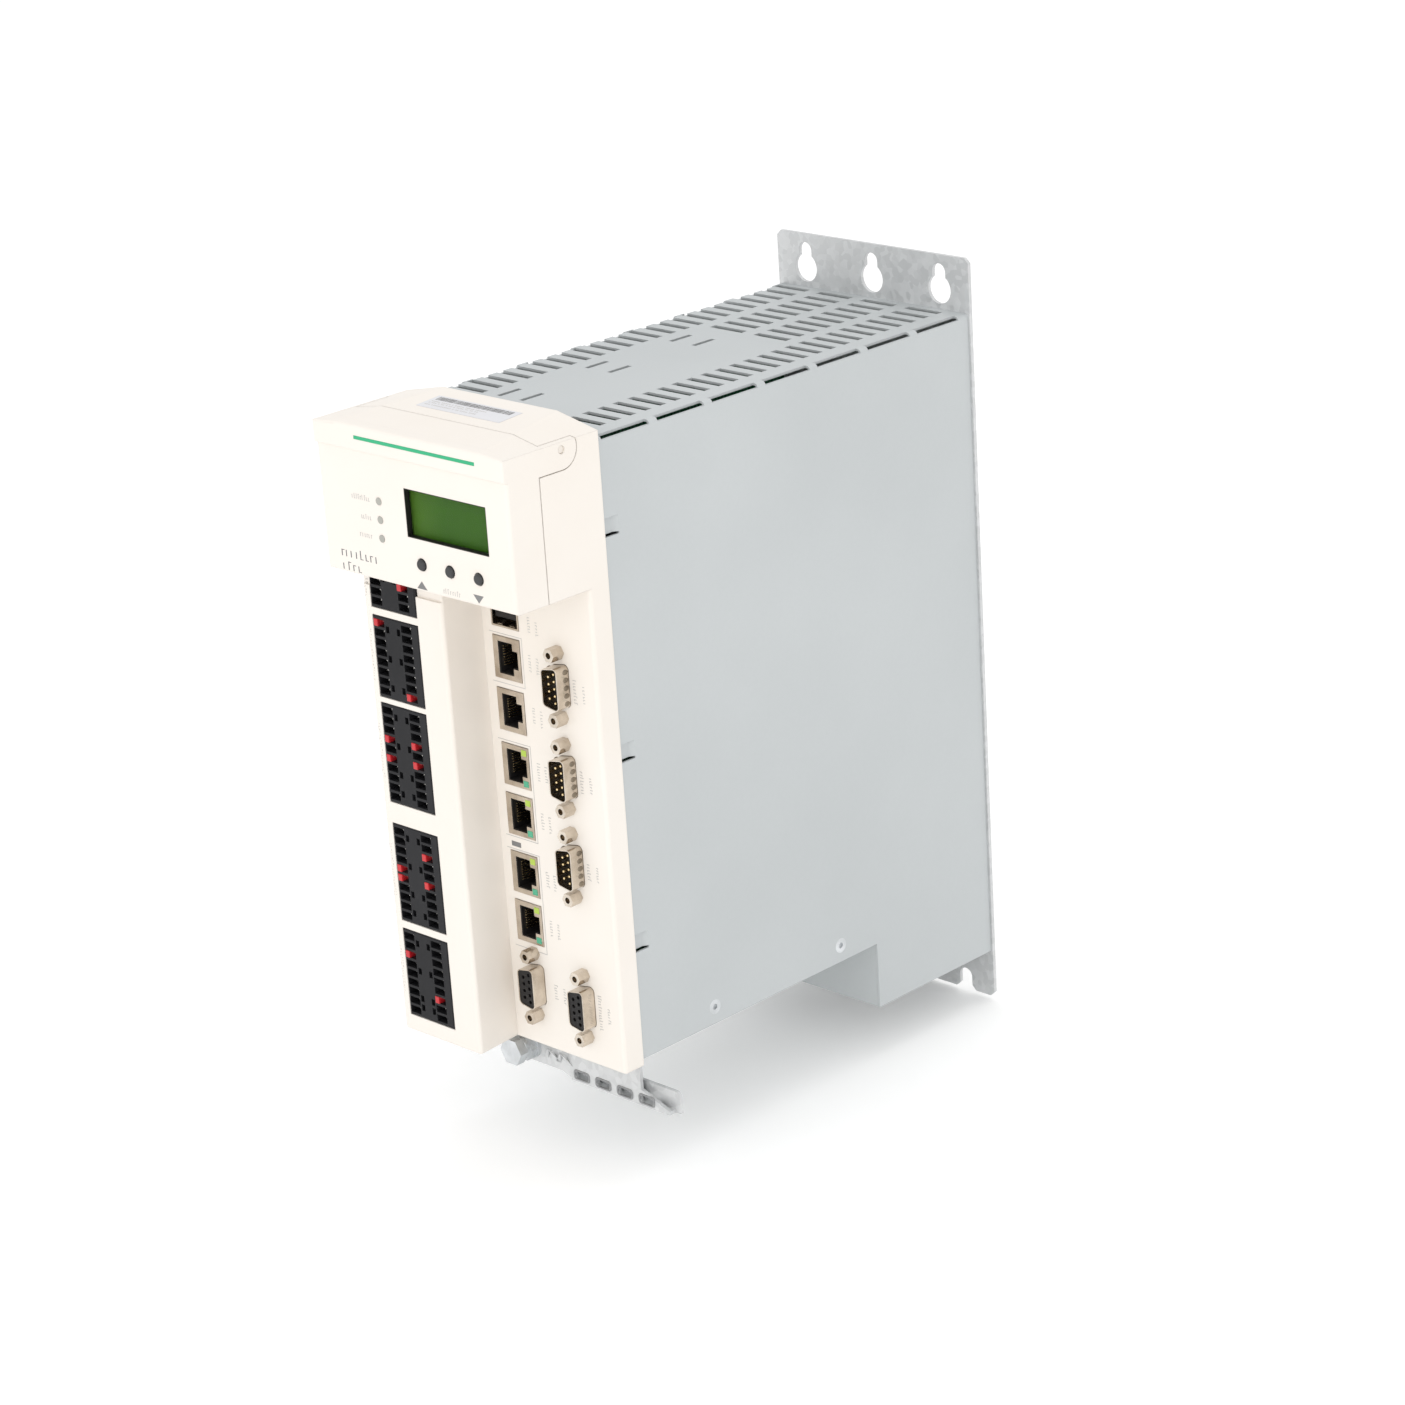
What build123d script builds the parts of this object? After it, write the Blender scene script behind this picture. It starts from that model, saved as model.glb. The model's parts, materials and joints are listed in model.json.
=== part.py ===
from build123d import *
import math
import os

os.makedirs("parts", exist_ok=True)

# A book-form servo drive controller, in millimetres. +Z is up, +Y points at the cabinet wall,
# so the operator's side faces -Y. The origin is the middle of the back plate's rear face.

# ---- back plate ----
plate_w = 100.0
plate_h = 310.0
plate_t = 1.5
plate_corner = 2.0
hang_pitch = 35.0
hang_slot_w = 6.5
hang_head_d = 11.5
hang_head_drop = 13.75
hang_rise = 7.0
foot_slot_h = 9.0
foot_flare = 2.0

# ---- sheet-metal housing ----
sheet_t = 1.0
housing_w = 98.5
housing_top = 133.5
housing_bottom = -107.0
housing_d = 201.0
rear_box_d = 69.0
rear_box_h = 27.5
bend_r = 1.8
vent_pitch = 7.62
vent_rows = 25
vent_short_rows = 9
vent_w = 3.3
vent_len = 17.0
vent_column_pitch = 23.1
vent_columns_x = -3.9
vent_first = 5.2
bend_slot_len = 24.0
bend_slot_pitch = 28.2
bend_slot_count = 7
bend_slot_edge = 5.9
bend_slot_w = 2.6
spine_slot_len = 11.0
spine_slot_w = 2.3
spine_slot_pitch = 45.1
spine_slot_first = 86.0
spine_slot_x = (-21.8, -9.8)
pocket_z = (99.9, 14.5, -60.5)
pocket_w = 7.4
pocket_h = 7.0
pocket_sink = 1.3
pocket_ramp = 2.2
pocket_slit = 0.8
floor_screw_z = 6.8
floor_screw_y = (90.0, 161.3)
floor_screw_head_r = 3.0
floor_screw_r = 1.5
pan_lip = 11.0
pan_gap = 0.1

# ---- plastic front frame and hood ----
wall = 2.4
frame_side_step = 0.55
frame_drop = 3.0
frame_corner_r = 1.6
panel_step = 9.6
tower_step = 30.2
tower_w = 42.8
tower_draft = 1.6
hood_bottom = 80.0
hood_side_rise = 2.7
hood_front_step = 29.2
flap_d = 15.9
rear_crown = 4.1
front_crown = 1.2
rear_shoulder = 20.0
front_shoulder = 12.0
bay_depth = 5.8
hook_w = 4.8
hook_t = 2.2
hook_gap = 0.3
hook_reach = 5.0
cheek_t = 3.0
fit_gap = 0.15

# ---- display flap ----
flap_wall = 2.2
flap_gap = 0.35
ear_r = 7.2
seam_r = 9.6
pivot_back = 18.0
pivot_drop = 2.7
pin_r = 1.5
pin_clear = 0.05
pin_len = 5.0
band_h = 8.3
band_step = 1.2
stripe_x = 4.2
stripe_rise = 5.2
stripe_h = 1.3
stripe_w = 63.0
stripe_t = 0.4
window_x = 17.0
window_rise = 28.7
window_w = 42.4
window_h = 18.0
pane_t = 1.0
pane_lap = 1.6
button_x = 17.0
button_rise = 10.4
button_r = 2.1
button_gap = 0.3
button_pitch = 14.8
button_proud = 1.0
button_travel = 0.8
collar_r = 3.3
collar_t = 1.2
stem_r = 1.2
switch_side = 6.0
switch_h = 2.5
knob_h = 0.8
lens_x = -18.2
lens_rise = 23.5
lens_r = 1.4
lens_pitch = 6.95
post_len = 8.4
post_r = 2.2
post_screw_r = 1.3
post_half_x = 37.0
post_middle_x = 5.0
post_low = 8.0
post_high = 42.0

# ---- terminal headers, counted from the top ----
header_edge = 16.6
header_ways = (4, 8, 10, 10, 9)
header_z = (70.2, 42.7, 4.5, -43.8, -84.9)
way_pitch = 3.81
header_margin = 1.6
header_w = 24.9
header_depth = 15.0
header_proud = 0.2
cavity_w = 5.6
cavity_h = 2.8
cavity_depth = 9.0
cavity_spacing = 14.8
cavity_shift = -1.45
latch_hole_w = 1.8
latch_hole_h = 2.6
latch_hole_depth = 4.0
pin_side = 1.0
pin_recess = 2.3
key_len = 6.0
# Each coding key is named by its header, column and way, all counted from zero.
key_places = (
    (0, 0, 0), (0, 1, 1), (1, 0, 0), (1, 1, 7), (2, 0, 3), (2, 0, 5), (2, 1, 3),
    (2, 1, 5), (3, 0, 4), (3, 0, 5), (3, 1, 2), (3, 1, 5), (4, 0, 2), (4, 1, 6),
)

# ---- network jacks and the serial bus port ----
jack_edge = 10.5
jack_z = (45.1, 24.7, 3.1, -16.7, -40.0, -59.7)
lit_jacks = (2, 3, 4, 5)
jack_w = 14.0
jack_h = 16.4
jack_depth = 15.9
jack_wall = 0.35
jack_proud = 0.3
plug_bay_shift = -0.6
plug_bay_h = 11.9
plug_bay_w = 7.0
plug_bay_depth = 12.0
latch_bay_h = 6.4
latch_bay_w = 2.6
contact_pitch = 1.02
contact_w = 0.36
lamp_w = 2.6
lamp_h = 2.4
lamp_edge = 0.9
lamp_depth = 6.0
usb_edge = 10.7
usb_z = 60.6
usb_w = 14.2
usb_h = 7.2
usb_wall = 0.6

# ---- nine-way ports ----
plug_edge = 18.6
plug_z = (40.6, 5.4, -29.6)
socket_edges = (44.8, 18.2)
socket_z = (-84.2, -86.2)
dsub_screw_pitch = 24.99
dsub_long = 16.9
dsub_short = 8.4
dsub_corner = 1.9
dsub_reach = 6.0
dsub_pitch = 2.77
dsub_row = 2.84
dsub_shell_t = 0.45
dsub_flange_t = 0.8
dsub_flange_w = 12.4
dsub_flange_h = 30.8
contact_pin_r = 0.5
contact_hole_r = 0.75
jackscrew_hex = 4.8
jackscrew_len = 5.4
jackscrew_r = 1.45
jackscrew_bore_r = 1.2

# ---- shield bracket and earth screw ----
bracket_t = 1.5
bracket_left = -27.0
web_right = 47.0
web_corner_drop = 13.2
web_drop = 19.8
channel_gap = 1.8
upstand_right = 64.0
upstand_left = 9.0
upstand_h = 8.8
tie_slot_w = 7.2
tie_slot_h = 2.8
tie_pitch = 11.6
tie_first = 15.0
tie_rise = 2.9
bracket_foot = 15.0
bracket_screw_x = (-20.0, 34.0)
bracket_screw_back = 9.0
earth_x = -12.6
earth_drop = 10.4
earth_hex = 10.0
earth_r = 3.0
earth_reach = 10.6

# ---- electronics ----
board_t = 1.6
board_gap = 0.4
main_board_edge = 9.25
power_board_edge = 18.25
board_screw_r = 1.5
board_screw_head_r = 2.8
board_screw_head_t = 2.0
board_post_flats = 5.5
post_screw_depth = 3.4
sink_w = 70.0
sink_h = 70.0
sink_base = 4.0
sink_fin_h = 18.0
sink_fin_t = 1.8
sink_fins = 9
core_w = 34.0
core_h = 34.0
core_d = 40.0
coil_lap = 8.0
can_r = 11.0
can_len = 36.0
card_x = 12.0
card_rise = 24.0
card_w = 36.4
card_t = 3.3
card_len = 32.8
sleeve_wall = 1.8
cell_x = -30.0
cell_rise = 25.0
cell_r = 10.0
cell_t = 3.2

# ---- fan ----
fan_size = 60.0
fan_h = 25.0
fan_bore = 57.0
fan_hub_r = 15.0
fan_blades = 7
fan_tip_gap = 1.0
fan_arm_t = 2.5
fan_hole_pitch = 50.0
fan_hole_r = 2.1
fan_blade_pitch = 38
grille_slot = 3.0
grille_bar = 6.0

# ---- derived planes and centres ----
plate_front = -plate_t
housing_front = plate_front - housing_d
panel_y = housing_front - panel_step
tower_y = housing_front - tower_step
hood_y = housing_front - hood_front_step
flap_y = hood_y - flap_d
bay_y = hood_y + bay_depth
half_housing = housing_w / 2
inner_x = half_housing - sheet_t
half_frame = half_housing + frame_side_step
frame_bottom = housing_bottom - frame_drop
hood_side_top = housing_top + hood_side_rise
tower_x = -half_frame + tower_w
arm_inner_x = half_frame - flap_wall
rear_box_y = plate_front - rear_box_d
rear_box_bottom = housing_bottom - rear_box_h
pivot_y = housing_front - pivot_back
pivot_z = hood_side_top - pivot_drop
band_low = hood_side_top - band_h
stripe_z = band_low + stripe_rise
window_z = hood_bottom + window_rise
button_z = hood_bottom + button_rise
lens_z = hood_bottom + lens_rise
display_board_y = flap_y + flap_wall + post_len
header_x = -half_frame + header_edge
header_front = tower_y - header_proud
io_board_y = tower_y + header_depth
jack_x = tower_x + jack_edge
jack_front = panel_y - jack_proud
usb_x = tower_x + usb_edge
connector_board_y = panel_y + jack_depth
dsub_flange_y = panel_y + wall
dsub_flange_back = dsub_flange_y + dsub_flange_t
web_y = housing_front + 0.1
web_low = housing_bottom - web_drop
bracket_flange_y = housing_front + bracket_screw_back
tie_z = web_low + tie_rise
earth_z = housing_bottom - earth_drop
main_board_x = -inner_x + main_board_edge - board_t
power_board_x = inner_x - power_board_edge
card_z = hood_bottom + card_rise
cell_z = hood_bottom + cell_rise
fan_x = 0.0
fan_y = plate_front - rear_box_d / 2
fan_z = rear_box_bottom + sheet_t


def box_between(x0, x1, y0, y1, z0, z1):
    """A block given by its two opposite corners."""
    size = (abs(x1 - x0), abs(y1 - y0), abs(z1 - z0))
    middle = ((x0 + x1) / 2, (y0 + y1) / 2, (z0 + z1) / 2)
    return Pos(*middle) * Box(*size)


def rod_along_y(x, z, y_front, length, radius):
    """A round bar that starts at y_front and runs back towards the wall."""
    return Pos(x, y_front + length / 2, z) * Rot(90, 0, 0) * Cylinder(radius, length)


def rod_along_x(y, z, x_start, length, radius):
    """A round bar that starts at x_start and runs to the right."""
    return Pos(x_start + length / 2, y, z) * Rot(0, 90, 0) * Cylinder(radius, length)


def hex_along_y(x, z, y_front, length, across_flats):
    """A hexagon bar that starts at y_front and runs back towards the wall."""
    profile = RegularPolygon(across_flats / 2, 6, major_radius=False)
    return Pos(x, y_front + length, z) * Rot(90, 0, 0) * extrude(profile, length)


def save(node, shape):
    """Write one sub-part as its own STEP file."""
    shape.label = node
    export_step(shape, "parts/" + node + ".step")


def group(solids):
    """Separate solids that share one node."""
    return Compound(children=list(solids))


# ---------------------------------------------------------------- back plate
def keyhole(x):
    """A hanging hole: a round head opening with a narrow slot rising from it."""
    head_z = plate_h / 2 - hang_head_drop
    head = rod_along_y(x, head_z, -2 * plate_t, 4 * plate_t, hang_head_d / 2)
    half = hang_slot_w / 2
    slot = box_between(x - half, x + half, -2 * plate_t, plate_t, head_z, head_z + hang_rise)
    end = rod_along_y(x, head_z + hang_rise, -2 * plate_t, 4 * plate_t, half)
    return head + slot + end


def foot_slot(x):
    """An open slot in the plate's bottom edge with a flared mouth."""
    half = hang_slot_w / 2
    bottom = -plate_h / 2
    arc_z = bottom + foot_slot_h - half
    slot = box_between(x - half, x + half, -2 * plate_t, plate_t, bottom - 1, arc_z)
    end = rod_along_y(x, arc_z, -2 * plate_t, 4 * plate_t, half)
    mouth_points = [
        (x - half - foot_flare, bottom),
        (x + half + foot_flare, bottom),
        (x + half, bottom + foot_flare),
        (x - half, bottom + foot_flare),
    ]
    face = make_face(Polyline([(px, 0, pz) for px, pz in mouth_points], close=True))
    mouth = extrude(face, 2 * plate_t, dir=(0, -1, 0))
    mouth += extrude(face, plate_t, dir=(0, 1, 0))
    return slot + end + mouth


def make_back_plate():
    plate = box_between(-plate_w / 2, plate_w / 2, plate_front, 0, -plate_h / 2, plate_h / 2)
    plate = chamfer(plate.edges().filter_by(Axis.Y), plate_corner)
    for column in (-1, 0, 1):
        plate -= keyhole(column * hang_pitch)
        plate -= foot_slot(column * hang_pitch)
    return plate


# ---------------------------------------------------------------- housing


def vent_slots():
    """The louvre slots in the top: four columns at the rear, the outer two full length."""
    cutters = []
    for row in range(vent_rows):
        y = plate_front - vent_first - row * vent_pitch
        for column in range(4):
            outer = column in (0, 3)
            if outer or row < vent_short_rows:
                x = vent_columns_x + (column - 1.5) * vent_column_pitch
                cutters.append(Pos(x, y, housing_top) * Box(vent_len, vent_w, 4 * sheet_t))
    for row in range(3):
        y = plate_front - spine_slot_first - row * spine_slot_pitch
        for x in spine_slot_x:
            cutters.append(Pos(x, y, housing_top) * Box(spine_slot_w, spine_slot_len, 4 * sheet_t))
    for slot in range(bend_slot_count):
        y = plate_front - bend_slot_edge - bend_slot_len / 2 - slot * bend_slot_pitch
        for side in (-1, 1):
            x = side * (half_housing - bend_slot_w / 2)
            cutter = Box(bend_slot_w + sheet_t, bend_slot_len, 3 * sheet_t)
            cutters.append(Pos(x + side * sheet_t / 2, y, housing_top) * cutter)
    return cutters


def side_screw_places():
    """Where the flush screws join the housing's sides to the floor pan."""
    return [(plate_front - y, housing_bottom + floor_screw_z) for y in floor_screw_y]


def make_housing():
    """One folded sheet: left side, vented top and right side, open at the front, floor and rear."""
    outer = box_between(-half_housing, half_housing, housing_front, plate_front,
                        rear_box_bottom, housing_top)
    edges = outer.edges().filter_by(Axis.Y).group_by(Axis.Z)[-1]
    outer = fillet(edges, bend_r)
    inner = box_between(-inner_x, inner_x, housing_front - 1, plate_front + 1,
                        rear_box_bottom - 1, housing_top - sheet_t)
    edges = inner.edges().filter_by(Axis.Y).group_by(Axis.Z)[-1]
    inner = fillet(edges, bend_r - sheet_t)
    shell = outer - inner
    shell -= box_between(-housing_w, housing_w, housing_front - 1, rear_box_y,
                         rear_box_bottom - 1, housing_bottom)
    shell -= vent_slots()
    front_edge = housing_front - 0.5
    for side in (-1, 1):
        face_x = side * half_housing
        for z in pocket_z:
            shell -= box_between(face_x - side * 2 * sheet_t, face_x + side, front_edge,
                                 housing_front + pocket_w, z - pocket_h / 2, z + pocket_h / 2)
        for y, z in side_screw_places():
            cone = Cone(floor_screw_head_r, floor_screw_head_r - sheet_t, sheet_t)
            shell -= Pos(face_x - side * sheet_t / 2, y, z) * Rot(0, -90 * side, 0) * cone
    # Each pressed pocket is a tongue set inwards, joined to the sheet by a sloping web at its rear.
    for side in (-1, 1):
        for z in pocket_z:
            x_out = side * (half_housing - pocket_sink)
            x_in = side * (half_housing - pocket_sink - sheet_t)
            y_ramp = housing_front + pocket_w - pocket_ramp
            y_back = housing_front + pocket_w
            profile = Polyline([
                (x_out, housing_front + 0.3, 0),
                (x_out, y_ramp, 0),
                (side * half_housing, y_back, 0),
                (side * half_housing, y_back + 0.6, 0),
                (side * inner_x, y_back + 0.6, 0),
                (side * inner_x, y_back, 0),
                (x_in, y_ramp, 0),
                (x_in, housing_front + 0.3, 0),
            ], close=True)
            tongue = extrude(make_face(profile), pocket_h - pocket_slit, dir=(0, 0, 1))
            shell += Pos(0, 0, z - pocket_h / 2 + pocket_slit) * tongue
    return shell


def make_floor_pan():
    """The folded floor: a flat floor, a step down to the fan box and side flanges for the screws."""
    reach = inner_x - pan_gap
    # The floor stops short of the frame's hooks and of the back plate.
    front = housing_front + 1.0
    rear = plate_front - 0.2
    floor = box_between(-reach, reach, front, rear_box_y + sheet_t, housing_bottom,
                        housing_bottom + sheet_t)
    step = box_between(-reach, reach, rear_box_y, rear_box_y + sheet_t,
                       rear_box_bottom, housing_bottom + sheet_t)
    base = box_between(-reach, reach, rear_box_y, rear, rear_box_bottom,
                       rear_box_bottom + sheet_t)
    pan = floor + step + base
    for side in (-1, 1):
        flange = box_between(side * reach, side * (reach - sheet_t), front, rear_box_y - 2,
                             housing_bottom, housing_bottom + pan_lip)
        rear_flange = box_between(side * reach, side * (reach - sheet_t), rear_box_y, rear,
                                  rear_box_bottom, rear_box_bottom + pan_lip)
        pan += flange + rear_flange
        for y, z in side_screw_places():
            pan -= rod_along_x(y, z, side * reach - 3 * sheet_t, 6 * sheet_t, floor_screw_r)
    # Inlet slots under the fan, kept narrower than a finger.
    for row in range(-4, 5):
        chord = math.sqrt((fan_bore / 2) ** 2 - (row * 2 * grille_slot) ** 2)
        slot = Box(2 * chord - 4, grille_slot, 4 * sheet_t)
        pan -= Pos(fan_x, fan_y + row * 2 * grille_slot, rear_box_bottom) * slot
    # A crossbar under the hub keeps the grille stiff.
    pan += box_between(fan_x - grille_bar / 2, fan_x + grille_bar / 2,
                       fan_y - fan_bore / 2, fan_y + fan_bore / 2,
                       rear_box_bottom, rear_box_bottom + sheet_t)
    for x, y in fan_holes():
        pan -= Pos(x, y, rear_box_bottom) * Cylinder(fan_hole_r, 4 * sheet_t)
    # Two holes take the shield bracket's screws.
    for x in bracket_screw_x:
        pan -= Pos(x, bracket_flange_y, housing_bottom) * Cylinder(floor_screw_r, 4 * sheet_t)
    return pan


# ---------------------------------------------------------------- hood envelope
def hood_section(y, inset, crown, shoulder):
    """The hood's outline across its width at depth y, drawn inside the skin by inset."""
    half = half_frame - inset
    low = hood_bottom + inset
    side = hood_side_top - inset
    top = hood_side_top + crown - inset
    outline = Polyline([
        (-half, y, low),
        (half, y, low),
        (half, y, side),
        (half_frame - shoulder, y, top),
        (-half_frame + shoulder, y, top),
        (-half, y, side),
    ], close=True)
    return make_face(outline)


def hood_envelope(inset, rear_extra=0.0):
    """The hood's solid body: its crowned top falls gently from the housing to the flap's face."""
    front = flap_y + inset
    fall = (rear_crown - front_crown) / (housing_front - flap_y)
    front_extra = rear_extra * fall
    sections = [
        hood_section(housing_front + rear_extra, inset, rear_crown + front_extra, rear_shoulder),
        hood_section(front, inset, front_crown + inset * fall, front_shoulder),
    ]
    return loft(sections)


def flap_region(grow):
    """The space the flap may fill: ahead of the seam, plus two side arms that end in round ears.

    With grow above zero it is the recess that the frame leaves round that space.
    """
    x_out = half_frame + 5
    high = hood_side_top + 30
    seam_y = hood_y - flap_gap + grow
    arm_low = pivot_z - ear_r - grow
    ahead = box_between(-x_out, x_out, flap_y - 10, seam_y, hood_bottom - 10, high)
    arms = box_between(-x_out, x_out, seam_y - 1, pivot_y, arm_low, high)
    arms += rod_along_x(pivot_y, pivot_z, -x_out, 2 * x_out, ear_r + grow)
    core_x = arm_inner_x - grow
    arms -= box_between(-core_x, core_x, seam_y, pivot_y + 2 * ear_r, arm_low - 1, high + 1)
    # Over the frame's nose the seam is a circle round the pivot, so the skin swings clear of it.
    skin = box_between(-x_out, x_out, seam_y - 1, pivot_y, pivot_z, high)
    skin -= rod_along_x(pivot_y, pivot_z, -2 * x_out, 4 * x_out, seam_r - grow)
    return ahead + arms + skin


# ---------------------------------------------------------------- front frame


def header_height(ways):
    """A header's height grows by one pitch for each way."""
    return ways * way_pitch + header_margin


def d_outline(long_side, short_side, corner):
    """The tapered port outline, long along Z, its wide side towards +X, drawn in the XZ plane."""
    taper = short_side * math.tan(math.radians(10))
    half = long_side / 2
    points = [
        (short_side / 2, -half),
        (short_side / 2, half),
        (-short_side / 2, half - taper),
        (-short_side / 2, -half + taper),
    ]
    sketch = make_face(Polyline(points, close=True))
    return fillet(sketch.vertices(), corner)


def d_prism(x, z, y_front, length, grow=0.0):
    """A solid with the port outline that starts at y_front and runs back."""
    outline = d_outline(dsub_long + 2 * grow, dsub_short + 2 * grow, dsub_corner + grow)
    # A sketch's local x is world X; turned about X, its local y becomes world Z.
    solid = extrude(outline, length)
    return Pos(x, y_front + length, z) * Rot(90, 0, 0) * solid


def lower_profile(inset):
    """The frame's plan view below the hood: the tall terminal tower and the set-back port panel."""
    rear = housing_front + (0 if inset == 0 else 5)
    left = -half_frame + inset
    right = half_frame - inset
    points = [
        (left, rear),
        (left, tower_y + inset),
        (tower_x - inset, tower_y + inset),
        (tower_x - tower_draft - inset, panel_y + inset),
        (right, panel_y + inset),
        (right, rear),
    ]
    return make_face(Polyline(points, close=True))


def dsub_places():
    """Every nine-way port: its place, and whether it is a plug with pins."""
    places = [(half_frame - plug_edge, z, True) for z in plug_z]
    for edge, z in zip(socket_edges, socket_z):
        places.append((half_frame - edge, z, False))
    return places


def make_front_frame():
    """The moulded front: terminal tower, port panel and the hood's fixed half, as one shell."""
    low = Pos(0, 0, frame_bottom) * extrude(lower_profile(0), hood_bottom - frame_bottom)
    upright = low.edges().filter_by(Axis.Z)
    front_corners = [e for e in upright if e.center().Y < housing_front - 1]
    inner_corner_x = tower_x - tower_draft
    outer_corners = [e for e in front_corners if abs(e.center().X - inner_corner_x) > 1]
    low = fillet(outer_corners, frame_corner_r)
    bottom_edges = low.faces().sort_by(Axis.Z)[0].edges()
    low = fillet([e for e in bottom_edges if e.center().Y < housing_front - 1], frame_corner_r - 0.2)
    hood = hood_envelope(0)
    hood -= box_between(-plate_w, plate_w, flap_y - 5, hood_y, hood_bottom - 5, 200)
    outer = low + hood
    core_low = Pos(0, 0, frame_bottom + wall) * extrude(
        lower_profile(wall), hood_bottom - frame_bottom)
    frame = outer - core_low - hood_envelope(wall, 2.0)
    # The tower's top stays clear of the flap that closes just above it.
    frame -= box_between(-plate_w, tower_x + 1, tower_y - 1, hood_y, hood_bottom - flap_gap,
                         hood_bottom + 20)
    # The inner wall behind the flap carries the card slot and the backup cell.
    bay = box_between(-half_frame + wall, half_frame - wall, bay_y - wall, bay_y,
                      hood_bottom, hood_side_top)
    bay = bay & hood_envelope(0)
    frame += bay
    # Side cheeks inside the arms hold the hinge pins.
    for side in (-1, 1):
        cheek = box_between(side * (arm_inner_x - flap_gap), side * (arm_inner_x - flap_gap - cheek_t),
                            bay_y - wall, pivot_y + ear_r + 4, pivot_z - ear_r - 5, 200)
        frame += cheek & hood_envelope(0)
    frame -= flap_region(flap_gap)
    for side in (-1, 1):
        frame -= rod_along_x(pivot_y, pivot_z, side * arm_inner_x - pin_len, 2 * pin_len, pin_r)
    # Snap hooks reach into the housing beside its pressed pockets.
    for side in (-1, 1):
        for z in pocket_z:
            x_out = side * (half_housing - pocket_sink - sheet_t - hook_gap)
            x_in = x_out - side * hook_t
            root_x = side * (half_frame - 0.5)
            frame += box_between(x_out, x_in, housing_front - 1.5,
                                 housing_front + hook_reach, z - hook_w / 2, z + hook_w / 2)
            frame += box_between(root_x, x_in, housing_front - 1.9,
                                 housing_front - 0.1, z - hook_w / 2, z + hook_w / 2)
    # Short posts behind the tower's face and the port panel carry the two front boards.
    for x, z in io_posts():
        frame += rod_along_y(x, z, tower_y + wall / 2, io_board_y - tower_y - wall / 2, post_r)
    for x, z in panel_posts():
        frame += rod_along_y(x, z, panel_y + wall / 2, jack_depth - wall / 2, post_r)
    frame -= header_windows() + jack_windows() + dsub_windows()
    frame -= box_between(usb_x - usb_w / 2 - fit_gap, usb_x + usb_w / 2 + fit_gap, panel_y - 1,
                         panel_y + 2 * wall, usb_z - usb_h / 2 - fit_gap,
                         usb_z + usb_h / 2 + fit_gap)
    half_w = card_w / 2 + sleeve_wall + 2 * fit_gap
    half_h = card_t / 2 + sleeve_wall + 2 * fit_gap
    frame -= box_between(card_x - half_w, card_x + half_w, bay_y - 2 * wall, bay_y + wall,
                         card_z - half_h, card_z + half_h)
    # The coin cell sits in a round cup sunk through the inner wall.
    cup = rod_along_y(cell_x, cell_z, bay_y - wall, cell_t + wall, cell_r + wall)
    frame += cup
    frame -= rod_along_y(cell_x, cell_z, bay_y - wall - 1, cell_t + 1, cell_r + fit_gap)
    return frame


def io_posts():
    """Where the board behind the terminal headers is screwed down."""
    x = tower_x - tower_draft - wall - post_r - 1
    return [(x, hood_bottom - 20), (x, hood_bottom - 100), (x, frame_bottom + 15)]


def panel_posts():
    """Where the board behind the port panel is screwed down."""
    left = jack_x + jack_w / 2 + 7
    between_sockets = half_frame - sum(socket_edges) / 2
    right = half_frame - 2 * wall - post_r - 1
    return [(left, hood_bottom - 10), (between_sockets, frame_bottom + 15),
            (right, hood_bottom - 60), (right, frame_bottom + 50)]


def header_windows():
    """The rectangular windows that the terminal headers stand in."""
    cutters = []
    for ways, z in zip(header_ways, header_z):
        half = header_height(ways) / 2 + fit_gap
        cutters.append(box_between(header_x - header_w / 2 - fit_gap,
                                   header_x + header_w / 2 + fit_gap,
                                   tower_y - 1, tower_y + 2 * wall, z - half, z + half))
    return cutters


def jack_windows():
    """The windows for the network jacks."""
    half_w = jack_w / 2 + fit_gap
    half_h = jack_h / 2 + fit_gap
    return [box_between(jack_x - half_w, jack_x + half_w, panel_y - 1, panel_y + 2 * wall,
                        z - half_h, z + half_h) for z in jack_z]


def dsub_windows():
    """The tapered windows and the screw holes for the nine-way ports."""
    cutters = []
    for x, z, is_plug in dsub_places():
        cutters.append(d_prism(x, z, panel_y - 1, 2 * wall, fit_gap))
        for side in (-1, 1):
            hole_z = z + side * dsub_screw_pitch / 2
            cutters.append(rod_along_y(x, hole_z, panel_y - 1, 2 * wall, jackscrew_r + 2 * fit_gap))
    return cutters


# ---------------------------------------------------------------- display flap


def button_places():
    """The three keys under the display, from left to right."""
    return [button_x + step * button_pitch for step in (-1, 0, 1)]


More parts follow.
